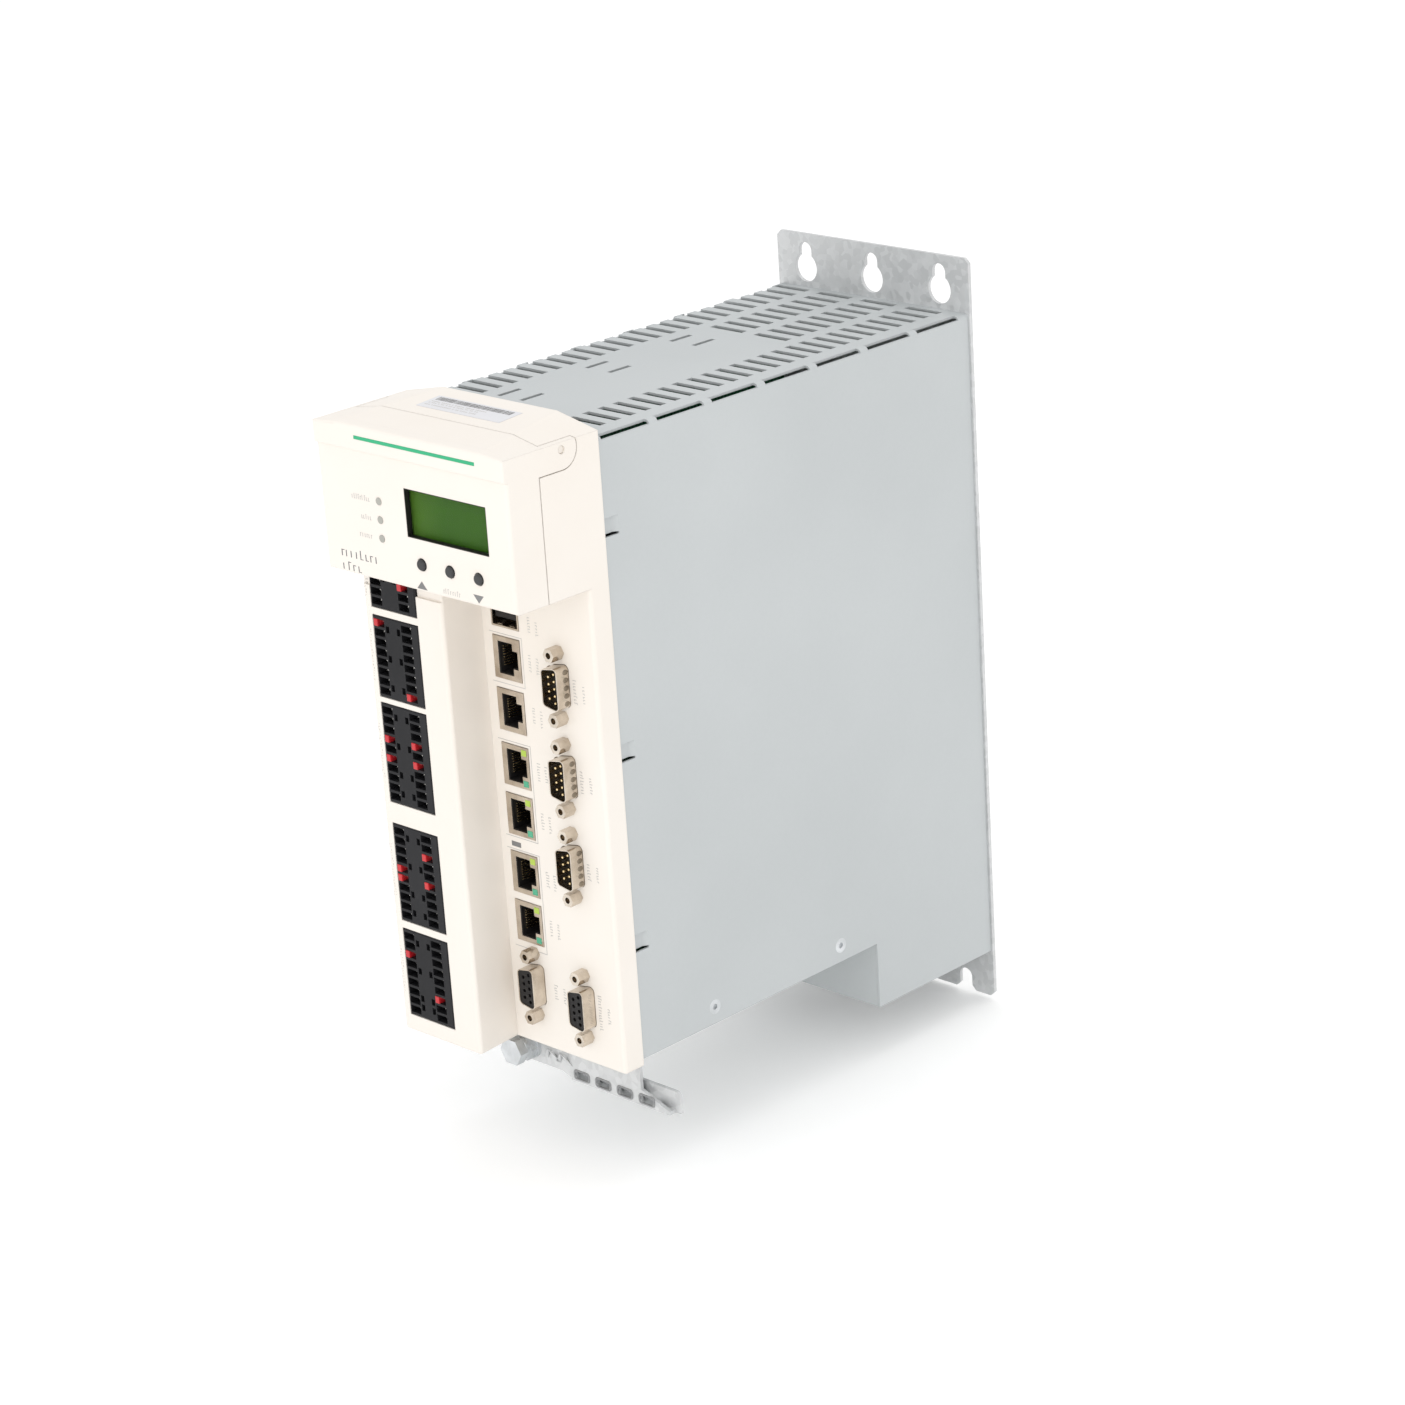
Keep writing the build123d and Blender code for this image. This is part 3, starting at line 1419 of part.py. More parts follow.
# ---------------------------------------------------------------- write every sub-part
save("back_plate", make_back_plate())
save("housing_shell", make_housing())
save("floor_pan", make_floor_pan())
save("front_frame", make_front_frame())
save("display_flap", make_display_flap())
save("hinge_pins", make_hinge_pins())
save("accent_strip", make_accent_strip())
save("display_window", make_display_window())
save("display_module", make_display_module())
save("display_board", make_display_board())
save("flap_screws", make_flap_screws())
save("key_switches", make_key_switches())
save("status_lenses", make_status_lenses())
for name, x in zip(("button_up", "button_enter", "button_down"), button_places()):
    save(name, make_button(x))
save("type_label", make_type_label())
for number, (ways, z) in enumerate(zip(header_ways, header_z), start=1):
    save("terminal_header_" + str(number), make_header(ways, z))
save("terminal_pins", make_terminal_pins())
save("coding_keys", make_coding_keys())
save("usb_shell", make_usb_shell())
save("usb_tongue", make_usb_tongue())
save("jack_shields", group(make_jack_shield(index) for index in range(len(jack_z))))
for index in range(len(jack_z)):
    save("jack_insert_" + str(index + 1), make_jack_insert(index))
save("jack_contacts", make_jack_contacts())
save("jack_lamps", make_jack_lamps())
save("port_shells", group(make_dsub_shell(x, z) for x, z, is_plug in dsub_places()))
save("port_inserts", make_dsub_inserts())
save("port_pins", make_dsub_pins())
save("port_jackscrews", make_jackscrews())
save("shield_bracket", make_shield_bracket())
save("bracket_screws", make_bracket_screws())
save("earth_bolt", make_earth_bolt())
save("earth_nuts", make_earth_nuts())
save("earth_washers", make_earth_washers())
save("housing_screws", make_housing_screws())
save("main_board", make_main_board())
save("connector_board", make_connector_board())
save("io_board", make_io_board())
save("power_board", make_power_board())
save("board_posts", make_board_posts())
save("board_screws", make_board_screws())
save("heat_sink", make_heat_sink())
save("transformer", make_transformer())
save("capacitors", make_capacitors())
save("card_slot", make_card_slot())
save("memory_card", make_memory_card())
save("backup_cell", make_backup_cell())
save("fan_frame", make_fan_frame())
save("fan_screws", make_fan_screws())
save("fan_rotor", make_fan_rotor())
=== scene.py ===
# %% [markdown]
# # A book-form servo drive controller
# The controller hangs on a cabinet wall: a folded grey steel box, a moulded warm-white front
# full of terminals and ports, and a small display hood that hinges up.
# The first cell loads the packed model. Every node is already in its place, in metres, with the
# wall at y = 0 and the operator on the -Y side, so the pieces made below need no fitting.

# %% Load the frame
import json
import math
import random

import bmesh
import bpy
from mathutils import Matrix, Vector


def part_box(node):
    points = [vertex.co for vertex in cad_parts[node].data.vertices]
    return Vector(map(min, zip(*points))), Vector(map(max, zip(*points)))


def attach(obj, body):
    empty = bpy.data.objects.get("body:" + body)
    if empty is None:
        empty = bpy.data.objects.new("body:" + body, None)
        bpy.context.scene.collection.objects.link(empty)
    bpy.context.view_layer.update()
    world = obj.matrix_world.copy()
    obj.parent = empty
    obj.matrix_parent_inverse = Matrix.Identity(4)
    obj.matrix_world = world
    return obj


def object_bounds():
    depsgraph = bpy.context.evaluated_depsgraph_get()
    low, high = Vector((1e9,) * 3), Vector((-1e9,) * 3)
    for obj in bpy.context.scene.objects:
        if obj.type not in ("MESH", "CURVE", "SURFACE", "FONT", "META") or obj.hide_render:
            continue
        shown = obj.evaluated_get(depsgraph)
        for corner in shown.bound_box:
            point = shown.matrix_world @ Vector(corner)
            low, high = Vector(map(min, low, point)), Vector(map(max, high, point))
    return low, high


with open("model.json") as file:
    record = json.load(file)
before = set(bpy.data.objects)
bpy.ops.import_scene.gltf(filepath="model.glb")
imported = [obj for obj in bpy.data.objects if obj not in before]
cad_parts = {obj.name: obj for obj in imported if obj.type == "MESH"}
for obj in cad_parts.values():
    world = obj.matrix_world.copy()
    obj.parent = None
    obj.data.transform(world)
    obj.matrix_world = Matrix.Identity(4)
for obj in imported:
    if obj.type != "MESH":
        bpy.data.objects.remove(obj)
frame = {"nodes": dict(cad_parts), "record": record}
cad_low, cad_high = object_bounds()
nodes = frame["nodes"]
mounts = {m["name"]: Vector(m["pos_m"]) for m in frame["record"]["mounts"]}
MM = 0.001
print("nodes", len(nodes), "size", [round(v, 4) for v in cad_high - cad_low])

# %% [markdown]
# ## Camera
# A long lens from the front right and a little above keeps the box's edges nearly parallel.
# The camera is rolled by a few degrees and its image is shifted a little, so the object stands
# where it should in the frame. A rotation matrix is built from three directions: right, up, back.

# %% Camera
camera_data = bpy.data.cameras.new("camera")
camera = bpy.data.objects.new("camera", camera_data)
bpy.context.scene.collection.objects.link(camera)
bpy.context.scene.camera = camera
camera_data.lens = 97.96
camera_data.sensor_width = 36.0
camera_data.shift_x = -0.0508
camera_data.shift_y = 0.0635
camera_data.clip_start = 0.01
camera_data.clip_end = 50.0

turn, rise, roll = (math.radians(angle) for angle in (44.15, 21.19, -3.32))
camera_place = (0.9899, -1.0931, 0.4985)
back = Vector((math.sin(turn) * math.cos(rise), -math.cos(turn) * math.cos(rise), math.sin(rise)))
flat_right = (-back).cross(Vector((0, 0, 1))).normalized()
flat_up = flat_right.cross(-back)
right = flat_right * math.cos(roll) + flat_up * math.sin(roll)
up = flat_up * math.cos(roll) - flat_right * math.sin(roll)
facing = Matrix((right, up, back)).transposed().to_4x4()
camera.matrix_world = Matrix.Translation(camera_place) @ facing
print("camera at", tuple(round(v, 3) for v in camera.location))

# %% [markdown]
# ## Studio
# A pale floor runs into a bright, even world, so the object stands on white. A large soft lamp in
# front lifts the operator's side, one from above shows the vents, and a weak one on the right keeps
# the steel side a calm grey. The floor is matt paper with a fine tooth.

# %% Floor and lamps
floor_mesh = bpy.data.meshes.new("floor")
floor_gap = 2 * MM
floor_z = cad_low.z - floor_gap
reach = 30.0
floor_mesh.from_pydata([(-reach, -reach, floor_z), (reach, -reach, floor_z),
                        (reach, reach, floor_z), (-reach, reach, floor_z)], [], [(0, 1, 2, 3)])
floor = bpy.data.objects.new("floor", floor_mesh)
bpy.context.scene.collection.objects.link(floor)


def soft_lamp(name, place, aim, size, power, tint=(1, 1, 1)):
    """A square area lamp that looks at a point."""
    data = bpy.data.lights.new(name, "AREA")
    data.shape = "SQUARE"
    data.size = size
    data.energy = power
    data.color = tint
    lamp = bpy.data.objects.new(name, data)
    bpy.context.scene.collection.objects.link(lamp)
    direction = Vector(aim) - Vector(place)
    lamp.matrix_world = (Matrix.Translation(place)
                         @ direction.to_track_quat("-Z", "Y").to_matrix().to_4x4())


middle = (cad_low + cad_high) / 2
soft_lamp("front_lamp", (0.55, -1.95, 0.6), middle, 1.2, 7.5, (1.0, 0.99, 0.97))
soft_lamp("top_lamp", (0.3, 0.3, 1.9), middle, 1.0, 4.0)
soft_lamp("side_lamp", (1.9, -0.5, 0.55), middle, 1.1, 1.2, (1.0, 0.99, 0.98))
world = bpy.data.worlds.new("studio")
bpy.context.scene.world = world
world.use_nodes = True
sky = world.node_tree.nodes["Background"]
sky.inputs["Color"].default_value = (1.0, 1.0, 1.0, 1)
sky.inputs["Strength"].default_value = 1.0
bpy.context.scene.view_settings.view_transform = "Standard"

# %% [markdown]
# ## Finishes
# Each finish is a small node tree on the Principled shader. Patterns read Object coordinates,
# which are metres here, so a scale of 1000 means one feature each millimetre.
# The class below adds a noise, a cell pattern, a colour blend or a bump in one line each. Its
# Bevel node makes sharp edges catch the light without any change to the shape.

# %% Finish helpers
class Finish:
    """A material with its shader and short calls to wire patterns into it."""

    def __init__(self, name, colour, roughness, metallic=0.0):
        self.material = bpy.data.materials.new(name)
        self.material.use_nodes = True
        self.tree = self.material.node_tree
        self.shader = self.tree.nodes["Principled BSDF"]
        self.shader.inputs["Base Color"].default_value = (*colour, 1)
        self.shader.inputs["Roughness"].default_value = roughness
        self.shader.inputs["Metallic"].default_value = metallic
        self.place = self.tree.nodes.new("ShaderNodeTexCoord").outputs["Object"]
        self.normals = []

    def soft_edges(self, radius_mm):
        """Lets every sharp edge catch the light as if it were slightly rounded."""
        made = self.node("ShaderNodeBevel", samples=4)
        made.inputs["Radius"].default_value = radius_mm * MM
        self.normals.append(made.outputs["Normal"])
        self.wire(made.outputs["Normal"], self.shader.inputs["Normal"])

    def node(self, kind, **values):
        """Adds one node and sets its properties."""
        made = self.tree.nodes.new(kind)
        for key, value in values.items():
            setattr(made, key, value)
        return made

    def wire(self, source, target):
        self.tree.links.new(source, target)

    def stretched(self, factors):
        """Object coordinates scaled by a different factor along each axis."""
        mapping = self.node("ShaderNodeMapping")
        mapping.inputs["Scale"].default_value = factors
        self.wire(self.place, mapping.inputs["Vector"])
        return mapping.outputs["Vector"]

    def noise(self, scale, detail=4.0, rough=0.5, place=None):
        """Soft clouds between 0 and 1."""
        made = self.node("ShaderNodeTexNoise")
        made.inputs["Scale"].default_value = scale
        made.inputs["Detail"].default_value = detail
        made.inputs["Roughness"].default_value = rough
        self.wire(place or self.place, made.inputs["Vector"])
        return made.outputs["Fac"]

    def cells(self, scale):
        """Flat patches of random colour; the scale is how many fit along a metre."""
        made = self.node("ShaderNodeTexVoronoi")
        made.inputs["Scale"].default_value = scale
        self.wire(self.place, made.inputs["Vector"])
        return made.outputs["Color"]

    def span(self, source, low, high, from_low=0.0, from_high=1.0):
        """Stretches a pattern's values to lie between low and high."""
        made = self.node("ShaderNodeMapRange")
        made.inputs["From Min"].default_value = from_low
        made.inputs["From Max"].default_value = from_high
        made.inputs["To Min"].default_value = low
        made.inputs["To Max"].default_value = high
        self.wire(source, made.inputs["Value"])
        return made.outputs["Result"]

    def shades(self, source, first, second, low=0.3, high=0.7):
        """A ramp from one colour to another."""
        made = self.node("ShaderNodeValToRGB")
        made.color_ramp.elements[0].position = low
        made.color_ramp.elements[0].color = (*first, 1)
        made.color_ramp.elements[1].position = high
        made.color_ramp.elements[1].color = (*second, 1)
        self.wire(source, made.inputs["Fac"])
        return made.outputs["Color"]

    def blend(self, factor, first, second, mode="MIX"):
        """Mixes two coloured patterns by a number."""
        made = self.node("ShaderNodeMix", data_type="RGBA", blend_type=mode)
        made.inputs["Factor"].default_value = factor
        slots = [s for s in made.inputs if s.type == "RGBA"]
        for socket, source in zip(slots, (first, second)):
            self.wire(source, socket)
        return [s for s in made.outputs if s.type == "RGBA"][0]

    def colour(self, source):
        self.wire(source, self.shader.inputs["Base Color"])

    def roughness(self, source):
        self.wire(source, self.shader.inputs["Roughness"])

    def bump(self, source, depth_mm, strength):
        """Adds surface relief; each bump starts from the normal of the one before."""
        made = self.node("ShaderNodeBump")
        made.inputs["Strength"].default_value = strength
        made.inputs["Distance"].default_value = depth_mm * MM
        self.wire(source, made.inputs["Height"])
        if self.normals:
            self.wire(self.normals[-1], made.inputs["Normal"])
        self.normals.append(made.outputs["Normal"])
        self.wire(made.outputs["Normal"], self.shader.inputs["Normal"])


print("finish calls", [call for call in vars(Finish) if not call.startswith("_")])

# %% [markdown]
# ### Zinc-coated sheet
# Hot-dip zinc freezes in flat crystals, so the back plate and the cable strip show a spangle of
# lighter and darker patches a few millimetres across. Cells with one grey each give that, and
# the same cells change the roughness. The box is a finer, duller sheet with only a faint grain.

# %% Zinc finishes
def zinc_finish(name, grain, contrast, dark, light, rough_low, rough_high, metallic):
    """Crystals over soft clouds; grain is how many crystals fit in a metre."""
    finish = Finish(name, light, rough_high, metallic)
    finish.soft_edges(0.25)
    grey = finish.node("ShaderNodeRGBToBW")
    finish.wire(finish.cells(grain), grey.inputs["Color"])
    crystal = grey.outputs["Val"]
    clouds = finish.shades(finish.noise(9.0, 3.0), dark, light, 0.25, 0.75)
    spangle = finish.shades(crystal, dark, light, 0.2, 0.8)
    finish.colour(finish.blend(contrast, clouds, spangle))
    finish.roughness(finish.span(crystal, rough_low, rough_high, 0.1, 0.9))
    rolling = finish.noise(60.0, 6.0, 0.7, finish.stretched((14.0, 0.6, 1.0)))
    finish.bump(rolling, 0.02, 0.35)
    finish.bump(crystal, 0.01, 0.4)
    return finish.material


spangled_zinc = zinc_finish("spangled_zinc", 420.0, 0.5, (0.52, 0.53, 0.535),
                            (0.70, 0.71, 0.715), 0.36, 0.56, 0.5)
# A much darker zinc for the slot collars: painted shade for the shadow along the slot edges.
collar_shade_zinc = zinc_finish("collar_shade_zinc", 700.0, 0.4, (0.22, 0.225, 0.23),
                        (0.36, 0.365, 0.37), 0.4, 0.6, 0.6)
grey_sheet = zinc_finish("grey_sheet", 900.0, 0.25, (0.49, 0.515, 0.522),
                         (0.56, 0.585, 0.592), 0.48, 0.62, 0.35)
print("zinc finishes made")

# %% [markdown]
# ### Moulded plastics
# The warm-white front is spark-eroded in the mould, which leaves a very fine even grain; age and
# handling make it a touch warmer in soft patches. The black connector plastic is glass-filled:
# darker, with a slightly uneven sheen. Both are one helper: its colours are the clean and the worn
# tone, then come the roughness, the grain's width and depth in millimetres, and the gloss.

# %% Plastic finishes
def moulded_finish(name, colour, worn, roughness, grain_mm, depth_mm, gloss=0.3, edge_mm=0.15):
    """An even plastic with soft patches of a worn tone and a fine moulded grain."""
    finish = Finish(name, colour, roughness)
    finish.shader.inputs["Specular IOR Level"].default_value = gloss
    finish.soft_edges(edge_mm)
    patches = finish.noise(14.0, 3.0, 0.55)
    finish.colour(finish.shades(patches, colour, worn, 0.35, 0.8))
    finish.roughness(finish.span(finish.noise(220.0, 5.0), roughness - 0.06, roughness + 0.08))
    finish.bump(finish.noise(1000.0 / grain_mm, 3.0, 0.6), depth_mm, 0.5)
    return finish.material


warm_white = moulded_finish("warm_white", (0.835, 0.79, 0.735), (0.81, 0.755, 0.69),
                            0.46, 0.35, 0.012, 0.3, 0.4)
connector_black = moulded_finish("connector_black", (0.011, 0.011, 0.0125),
                                 (0.02, 0.02, 0.023), 0.45, 0.5, 0.01, 0.2)
insert_black = moulded_finish("insert_black", (0.011, 0.010, 0.010), (0.02, 0.018, 0.017),
                              0.5, 0.5, 0.01)
key_grey = moulded_finish("key_grey", (0.035, 0.035, 0.037), (0.05, 0.05, 0.052), 0.36, 0.4, 0.012,
                          0.35)
coding_red = moulded_finish("coding_red", (0.50, 0.012, 0.022), (0.62, 0.03, 0.03), 0.30, 0.6,
                            0.008, 0.5)
lamp_lime = moulded_finish("lamp_lime", (0.46, 0.60, 0.10), (0.36, 0.55, 0.10), 0.25, 0.6, 0.01)
lamp_teal = moulded_finish("lamp_teal", (0.10, 0.42, 0.26), (0.07, 0.36, 0.22), 0.25, 0.6, 0.01)
lens_grey = moulded_finish("lens_grey", (0.36, 0.36, 0.33), (0.44, 0.43, 0.39), 0.28, 0.6, 0.01)
stripe_green = moulded_finish("stripe_green", (0.03, 0.40, 0.19), (0.045, 0.46, 0.23), 0.35, 0.5,
                              0.004)
print("plastics made")

# %% [markdown]
# ### Plated metal
# Port shells are drawn steel with a warm nickel coat, jackscrews the same but turned, pins are
# tin or a thin gold flash, and screws are bright zinc. Fine streaks along the drawing direction
# and a mottled roughness keep them from looking like one mirror, and soft stains a few millimetres
# across let the colour wander between a brighter and a duller tone.

# %% Plated finishes
def plated_finish(name, colour, shade, roughness, streak=(1.0, 12.0, 1.0)):
    """Metal with soft stains of a duller shade and fine streaks along one axis."""
    finish = Finish(name, colour, roughness, 1.0)
    finish.soft_edges(0.12)
    stains = finish.noise(120.0, 5.0, 0.6)
    finish.colour(finish.shades(stains, shade, colour, 0.3, 0.7))
    finish.roughness(finish.span(finish.noise(420.0, 4.0), roughness - 0.08, roughness + 0.10))
    finish.bump(finish.noise(700.0, 3.0, 0.5, finish.stretched(streak)), 0.004, 0.2)
    return finish.material


warm_nickel = plated_finish("warm_nickel", (0.78, 0.71, 0.62), (0.50, 0.43, 0.35), 0.20)
bright_zinc = plated_finish("bright_zinc", (0.74, 0.76, 0.78), (0.55, 0.57, 0.58), 0.30)
tinned_pin = plated_finish("tinned_pin", (0.82, 0.80, 0.76), (0.62, 0.60, 0.56), 0.25)
gold_flash = plated_finish("gold_flash", (0.90, 0.72, 0.42), (0.70, 0.52, 0.26), 0.25)
bare_aluminium = plated_finish("bare_aluminium", (0.76, 0.77, 0.78), (0.62, 0.63, 0.64), 0.38,
                               (1.0, 0.2, 14.0))
varnished_iron = plated_finish("varnished_iron", (0.12, 0.11, 0.10), (0.07, 0.06, 0.055), 0.5)
cell_steel = moulded_finish("cell_steel", (0.52, 0.53, 0.54), (0.56, 0.57, 0.58), 0.3, 1.2, 0.004,
                            0.5)
cell_steel.node_tree.nodes["Principled BSDF"].inputs["Metallic"].default_value = 0.85
print("plated metals made")

# %% [markdown]
# ### Character display
# The display is unlit: a dark leaf green that is brighter towards one side where light gets in,
# with a faint grid of character cells. A Gradient texture, stretched over the display's width,
# gives the first, and a Brick texture with thin mortar draws the cells.

# %% Display finish
lcd = Finish("lcd_green", (0.060, 0.165, 0.016), 0.4)
lcd.shader.inputs["Specular IOR Level"].default_value = 0.15
glow = lcd.node("ShaderNodeTexGradient")
lcd_low, lcd_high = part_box("display_module")
lcd_width = lcd_high.x - lcd_low.x
cell_width, cell_height, cell_gap = 2.4, 4.2, 0.16
shifted = lcd.node("ShaderNodeMapping")
shifted.inputs["Location"].default_value = (-lcd_low.x / lcd_width, 0, 0)
shifted.inputs["Scale"].default_value = (1 / lcd_width, 1, 1)
lcd.wire(lcd.place, shifted.inputs["Vector"])
lcd.wire(shifted.outputs["Vector"], glow.inputs["Vector"])
leaf = lcd.shades(glow.outputs["Fac"], (0.08, 0.185, 0.022), (0.042, 0.13, 0.01), 0.0, 0.4)
grid = lcd.node("ShaderNodeTexBrick", offset=0.0)
turned = lcd.node("ShaderNodeMapping")
turned.inputs["Rotation"].default_value = (math.radians(90), 0, 0)
lcd.wire(lcd.place, turned.inputs["Vector"])
lcd.wire(turned.outputs["Vector"], grid.inputs["Vector"])
grid.inputs["Scale"].default_value = 1000.0
grid.inputs["Brick Width"].default_value = cell_width
grid.inputs["Row Height"].default_value = cell_height
grid.inputs["Mortar Size"].default_value = cell_gap
grid.inputs["Color1"].default_value = (1, 1, 1, 1)
grid.inputs["Color2"].default_value = (0.97, 0.97, 0.97, 1)
grid.inputs["Mortar"].default_value = (0.84, 0.86, 0.80, 1)
lcd.colour(lcd.blend(1.0, leaf, grid.outputs["Color"], "MULTIPLY"))
lcd.roughness(lcd.span(lcd.noise(200.0), 0.34, 0.5))
print("display cells", round(lcd_width / MM / cell_width), "in a row")

# %% [markdown]
# ### Pane and circuit boards
# The pane in front of the display is clear acrylic. A low alpha lets the display show through it
# and keeps its gloss. Boards are green solder mask with copper tracks under it: long bricks with
# thin pale mortar pass for the tracks where a board is glimpsed through a vent.

# %% Pane and board finishes
pane = Finish("clear_pane", (0.05, 0.07, 0.04), 0.05)
pane.shader.inputs["Alpha"].default_value = 0.06
pane.shader.inputs["Specular IOR Level"].default_value = 0.35
pane.roughness(pane.span(pane.noise(90.0, 4.0), 0.02, 0.09))

mask = Finish("solder_mask", (0.01, 0.10, 0.045), 0.35)
tracks = mask.node("ShaderNodeTexBrick", offset=0.35)
mask.wire(mask.stretched((0.0, 1.0, 1.0)), tracks.inputs["Vector"])
tracks.inputs["Scale"].default_value = 260.0
tracks.inputs["Mortar Size"].default_value = 0.03
tracks.inputs["Color1"].default_value = (0.008, 0.085, 0.035, 1)
tracks.inputs["Color2"].default_value = (0.012, 0.12, 0.055, 1)
tracks.inputs["Mortar"].default_value = (0.03, 0.19, 0.08, 1)
mask.colour(tracks.outputs["Color"])
mask.roughness(mask.span(mask.noise(150.0), 0.28, 0.45))
print("pane and boards made")

# %% [markdown]
# ### Sleeves, label film and print
# The capacitor cans wear a shrunk plastic sleeve and the type label is a silvery film. The three
# printing inks are matt and nearly smooth. The dimples are the same nickel as the shells, only
# much darker: painted shade for the shadow in the pressed hollows.

# %% Sleeve and print finishes
sleeve = moulded_finish("can_sleeve", (0.012, 0.016, 0.045), (0.02, 0.03, 0.07), 0.25, 0.8, 0.006)
film = moulded_finish("label_film", (0.70, 0.70, 0.72), (0.66, 0.66, 0.69), 0.30, 0.8, 0.004)
print_grey = moulded_finish("print_grey", (0.19, 0.19, 0.19), (0.25, 0.25, 0.25), 0.55, 0.4, 0.002)
print_pale = moulded_finish("print_pale", (0.50, 0.49, 0.47), (0.60, 0.58, 0.55), 0.55, 0.4, 0.002)
print_dark = moulded_finish("print_dark", (0.13, 0.13, 0.14), (0.2, 0.2, 0.21), 0.55, 0.4, 0.002)
# A dark nickel for the shell dimples: painted shade for the shadow in the pressed hollows.
dimple_shade_nickel = plated_finish("dimple_shade_nickel", (0.34, 0.29, 0.23), (0.20, 0.17, 0.13), 0.4)
print("sleeve, film and inks made")

# %% [markdown]
# ### Dressing the nodes
# A node that already has its true shape keeps it and only takes a better finish: its material
# slots are filled again. A key that ends in an underscore stands for a whole family of nodes.

# %% Assign finishes
wardrobe = {
    "back_plate": spangled_zinc, "shield_bracket": spangled_zinc, "housing_shell": grey_sheet,
    "floor_pan": grey_sheet, "front_frame": warm_white, "display_flap": warm_white,
    "hinge_pins": warm_white, "accent_strip": stripe_green, "display_window": pane.material,
    "display_module": lcd.material, "display_board": mask.material, "flap_screws": bright_zinc,
    "key_switches": insert_black, "status_lenses": lens_grey, "button_": key_grey,
    "type_label": film, "terminal_header_": connector_black, "terminal_pins": tinned_pin,
    "coding_keys": coding_red, "usb_shell": warm_nickel, "usb_tongue": insert_black,
    "jack_shields": warm_nickel, "jack_insert_": insert_black, "jack_contacts": gold_flash,
    "jack_lamps": lamp_lime, "port_shells": warm_nickel, "port_inserts": insert_black,
    "port_pins": gold_flash, "port_jackscrews": warm_nickel, "bracket_screws": bright_zinc,
    "earth_": bright_zinc, "housing_screws": bright_zinc, "main_board": mask.material,
    "connector_board": mask.material, "io_board": mask.material, "power_board": mask.material,
    "board_posts": bright_zinc, "board_screws": bright_zinc, "heat_sink": bare_aluminium,
    "transformer": varnished_iron, "capacitors": sleeve, "card_slot": connector_black,
    "memory_card": key_grey, "backup_cell": cell_steel, "fan_frame": connector_black,
    "fan_screws": bright_zinc, "fan_rotor": connector_black,
}


def dress(obj, material):
    """Fills every material slot of an object with one material."""
    if not obj.data.materials:
        obj.data.materials.append(material)
    for index in range(len(obj.data.materials)):
        obj.data.materials[index] = material


undressed = []
for name, obj in nodes.items():
    match = [key for key in wardrobe if name == key or (key.endswith("_") and name.startswith(key))]
    if match:
        dress(obj, wardrobe[match[0]])
    else:
        undressed.append(name)
print("dressed", len(nodes) - len(undressed), "left", undressed)

# %% [markdown]
# The lamps of a lit jack are two colours: the upper one is yellow-green and the lower one green.
# The lens mesh holds all eight, so a face takes the second colour when its own lamp is a lower one.

# %% Two lamp colours
lamps = nodes["jack_lamps"]
lamps.data.materials.append(lamp_teal)
jack_heights = [mounts[name].z for name in mounts if name.startswith("network_jack_")]
lower_faces = 0
for face in lamps.data.polygons:
    z = sum((lamps.data.vertices[v].co.z for v in face.vertices), 0.0) / len(face.vertices)
    nearest = min(jack_heights, key=lambda height: abs(height - z))
    if z < nearest:
        face.material_index = 1
        lower_faces += 1
print("lamp faces", len(lamps.data.polygons), "of which lower", lower_faces)

# %% [markdown]
# ### Floor paper
# The floor is matt backdrop paper with a fine tooth. It glows very faintly, which lifts it to the
# white of the world behind it while the object's soft shadow still shows.

# %% Floor paper
paper = Finish("floor_paper", (0.93, 0.93, 0.93), 0.9)
paper.shader.inputs["Emission Color"].default_value = (1.0, 1.0, 1.0, 1)
paper.shader.inputs["Emission Strength"].default_value = 0.12
paper.colour(paper.shades(paper.noise(40.0), (0.925, 0.925, 0.92), (0.94, 0.94, 0.94)))
paper.bump(paper.noise(900.0), 0.05, 0.3)
dress(floor, paper.material)
print("floor dressed in", paper.material.name)

# %% [markdown]
# ## Shared mesh helpers
# Most small pieces below are loops of corners joined by bands of four-sided faces. One helper
# makes a band, one turns the finished work into a mesh with its faces outwards, and one ties a
# piece to a body.

# %% Mesh helpers
def band(work, first, second):
    """Joins two loops of corners into a band of four-sided faces."""
    for i, corner in enumerate(first):
        j = (i + 1) % len(first)
        work.faces.new((corner, first[j], second[j], second[i]))


def closed_mesh(name, work):
    """Turns finished bmesh work into a mesh whose faces point outwards."""
    bmesh.ops.recalc_face_normals(work, faces=work.faces)
    mesh = bpy.data.meshes.new(name)
    work.to_mesh(mesh)
    work.free()
    return mesh


def add_piece(name, mesh, material, body):
    """Links a finished mesh, gives it its finish and ties it to a body."""
    piece = bpy.data.objects.new(name, mesh)
    bpy.context.scene.collection.objects.link(piece)
    dress(piece, material)
    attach(piece, body)
    print(name, "faces", len(mesh.polygons))


print("mesh helpers ready")

# %% [markdown]
# ## Window shadow liner
# Behind the flap's window a thin black ring lines the opening's four walls: painted shade for the
# shadow in the window's recess, seen as a dark edge to the left of and below the display. Cutting a
# hole with a Boolean would do, but four loops joined by bands give the same ring with no stray
# edges.

# %% Window shadow liner
def ring_mesh(name, x0, x1, z0, z1, y0, y1, wall):
    """A rectangular ring whose axis runs front to back, in millimetres."""
    work = bmesh.new()
    loops = []
    for inset in (0.0, wall):
        for y in (y0, y1):
            corners = [(x0 + inset, y, z0 + inset), (x1 - inset, y, z0 + inset),
                       (x1 - inset, y, z1 - inset), (x0 + inset, y, z1 - inset)]
            loops.append([work.verts.new(Vector(c) * MM) for c in corners])
    outer_front, outer_rear, inner_front, inner_rear = loops
    for first, second in ((outer_front, outer_rear), (inner_front, inner_rear),
                          (outer_front, inner_front), (outer_rear, inner_rear)):
        band(work, first, second)
    return closed_mesh(name, work)


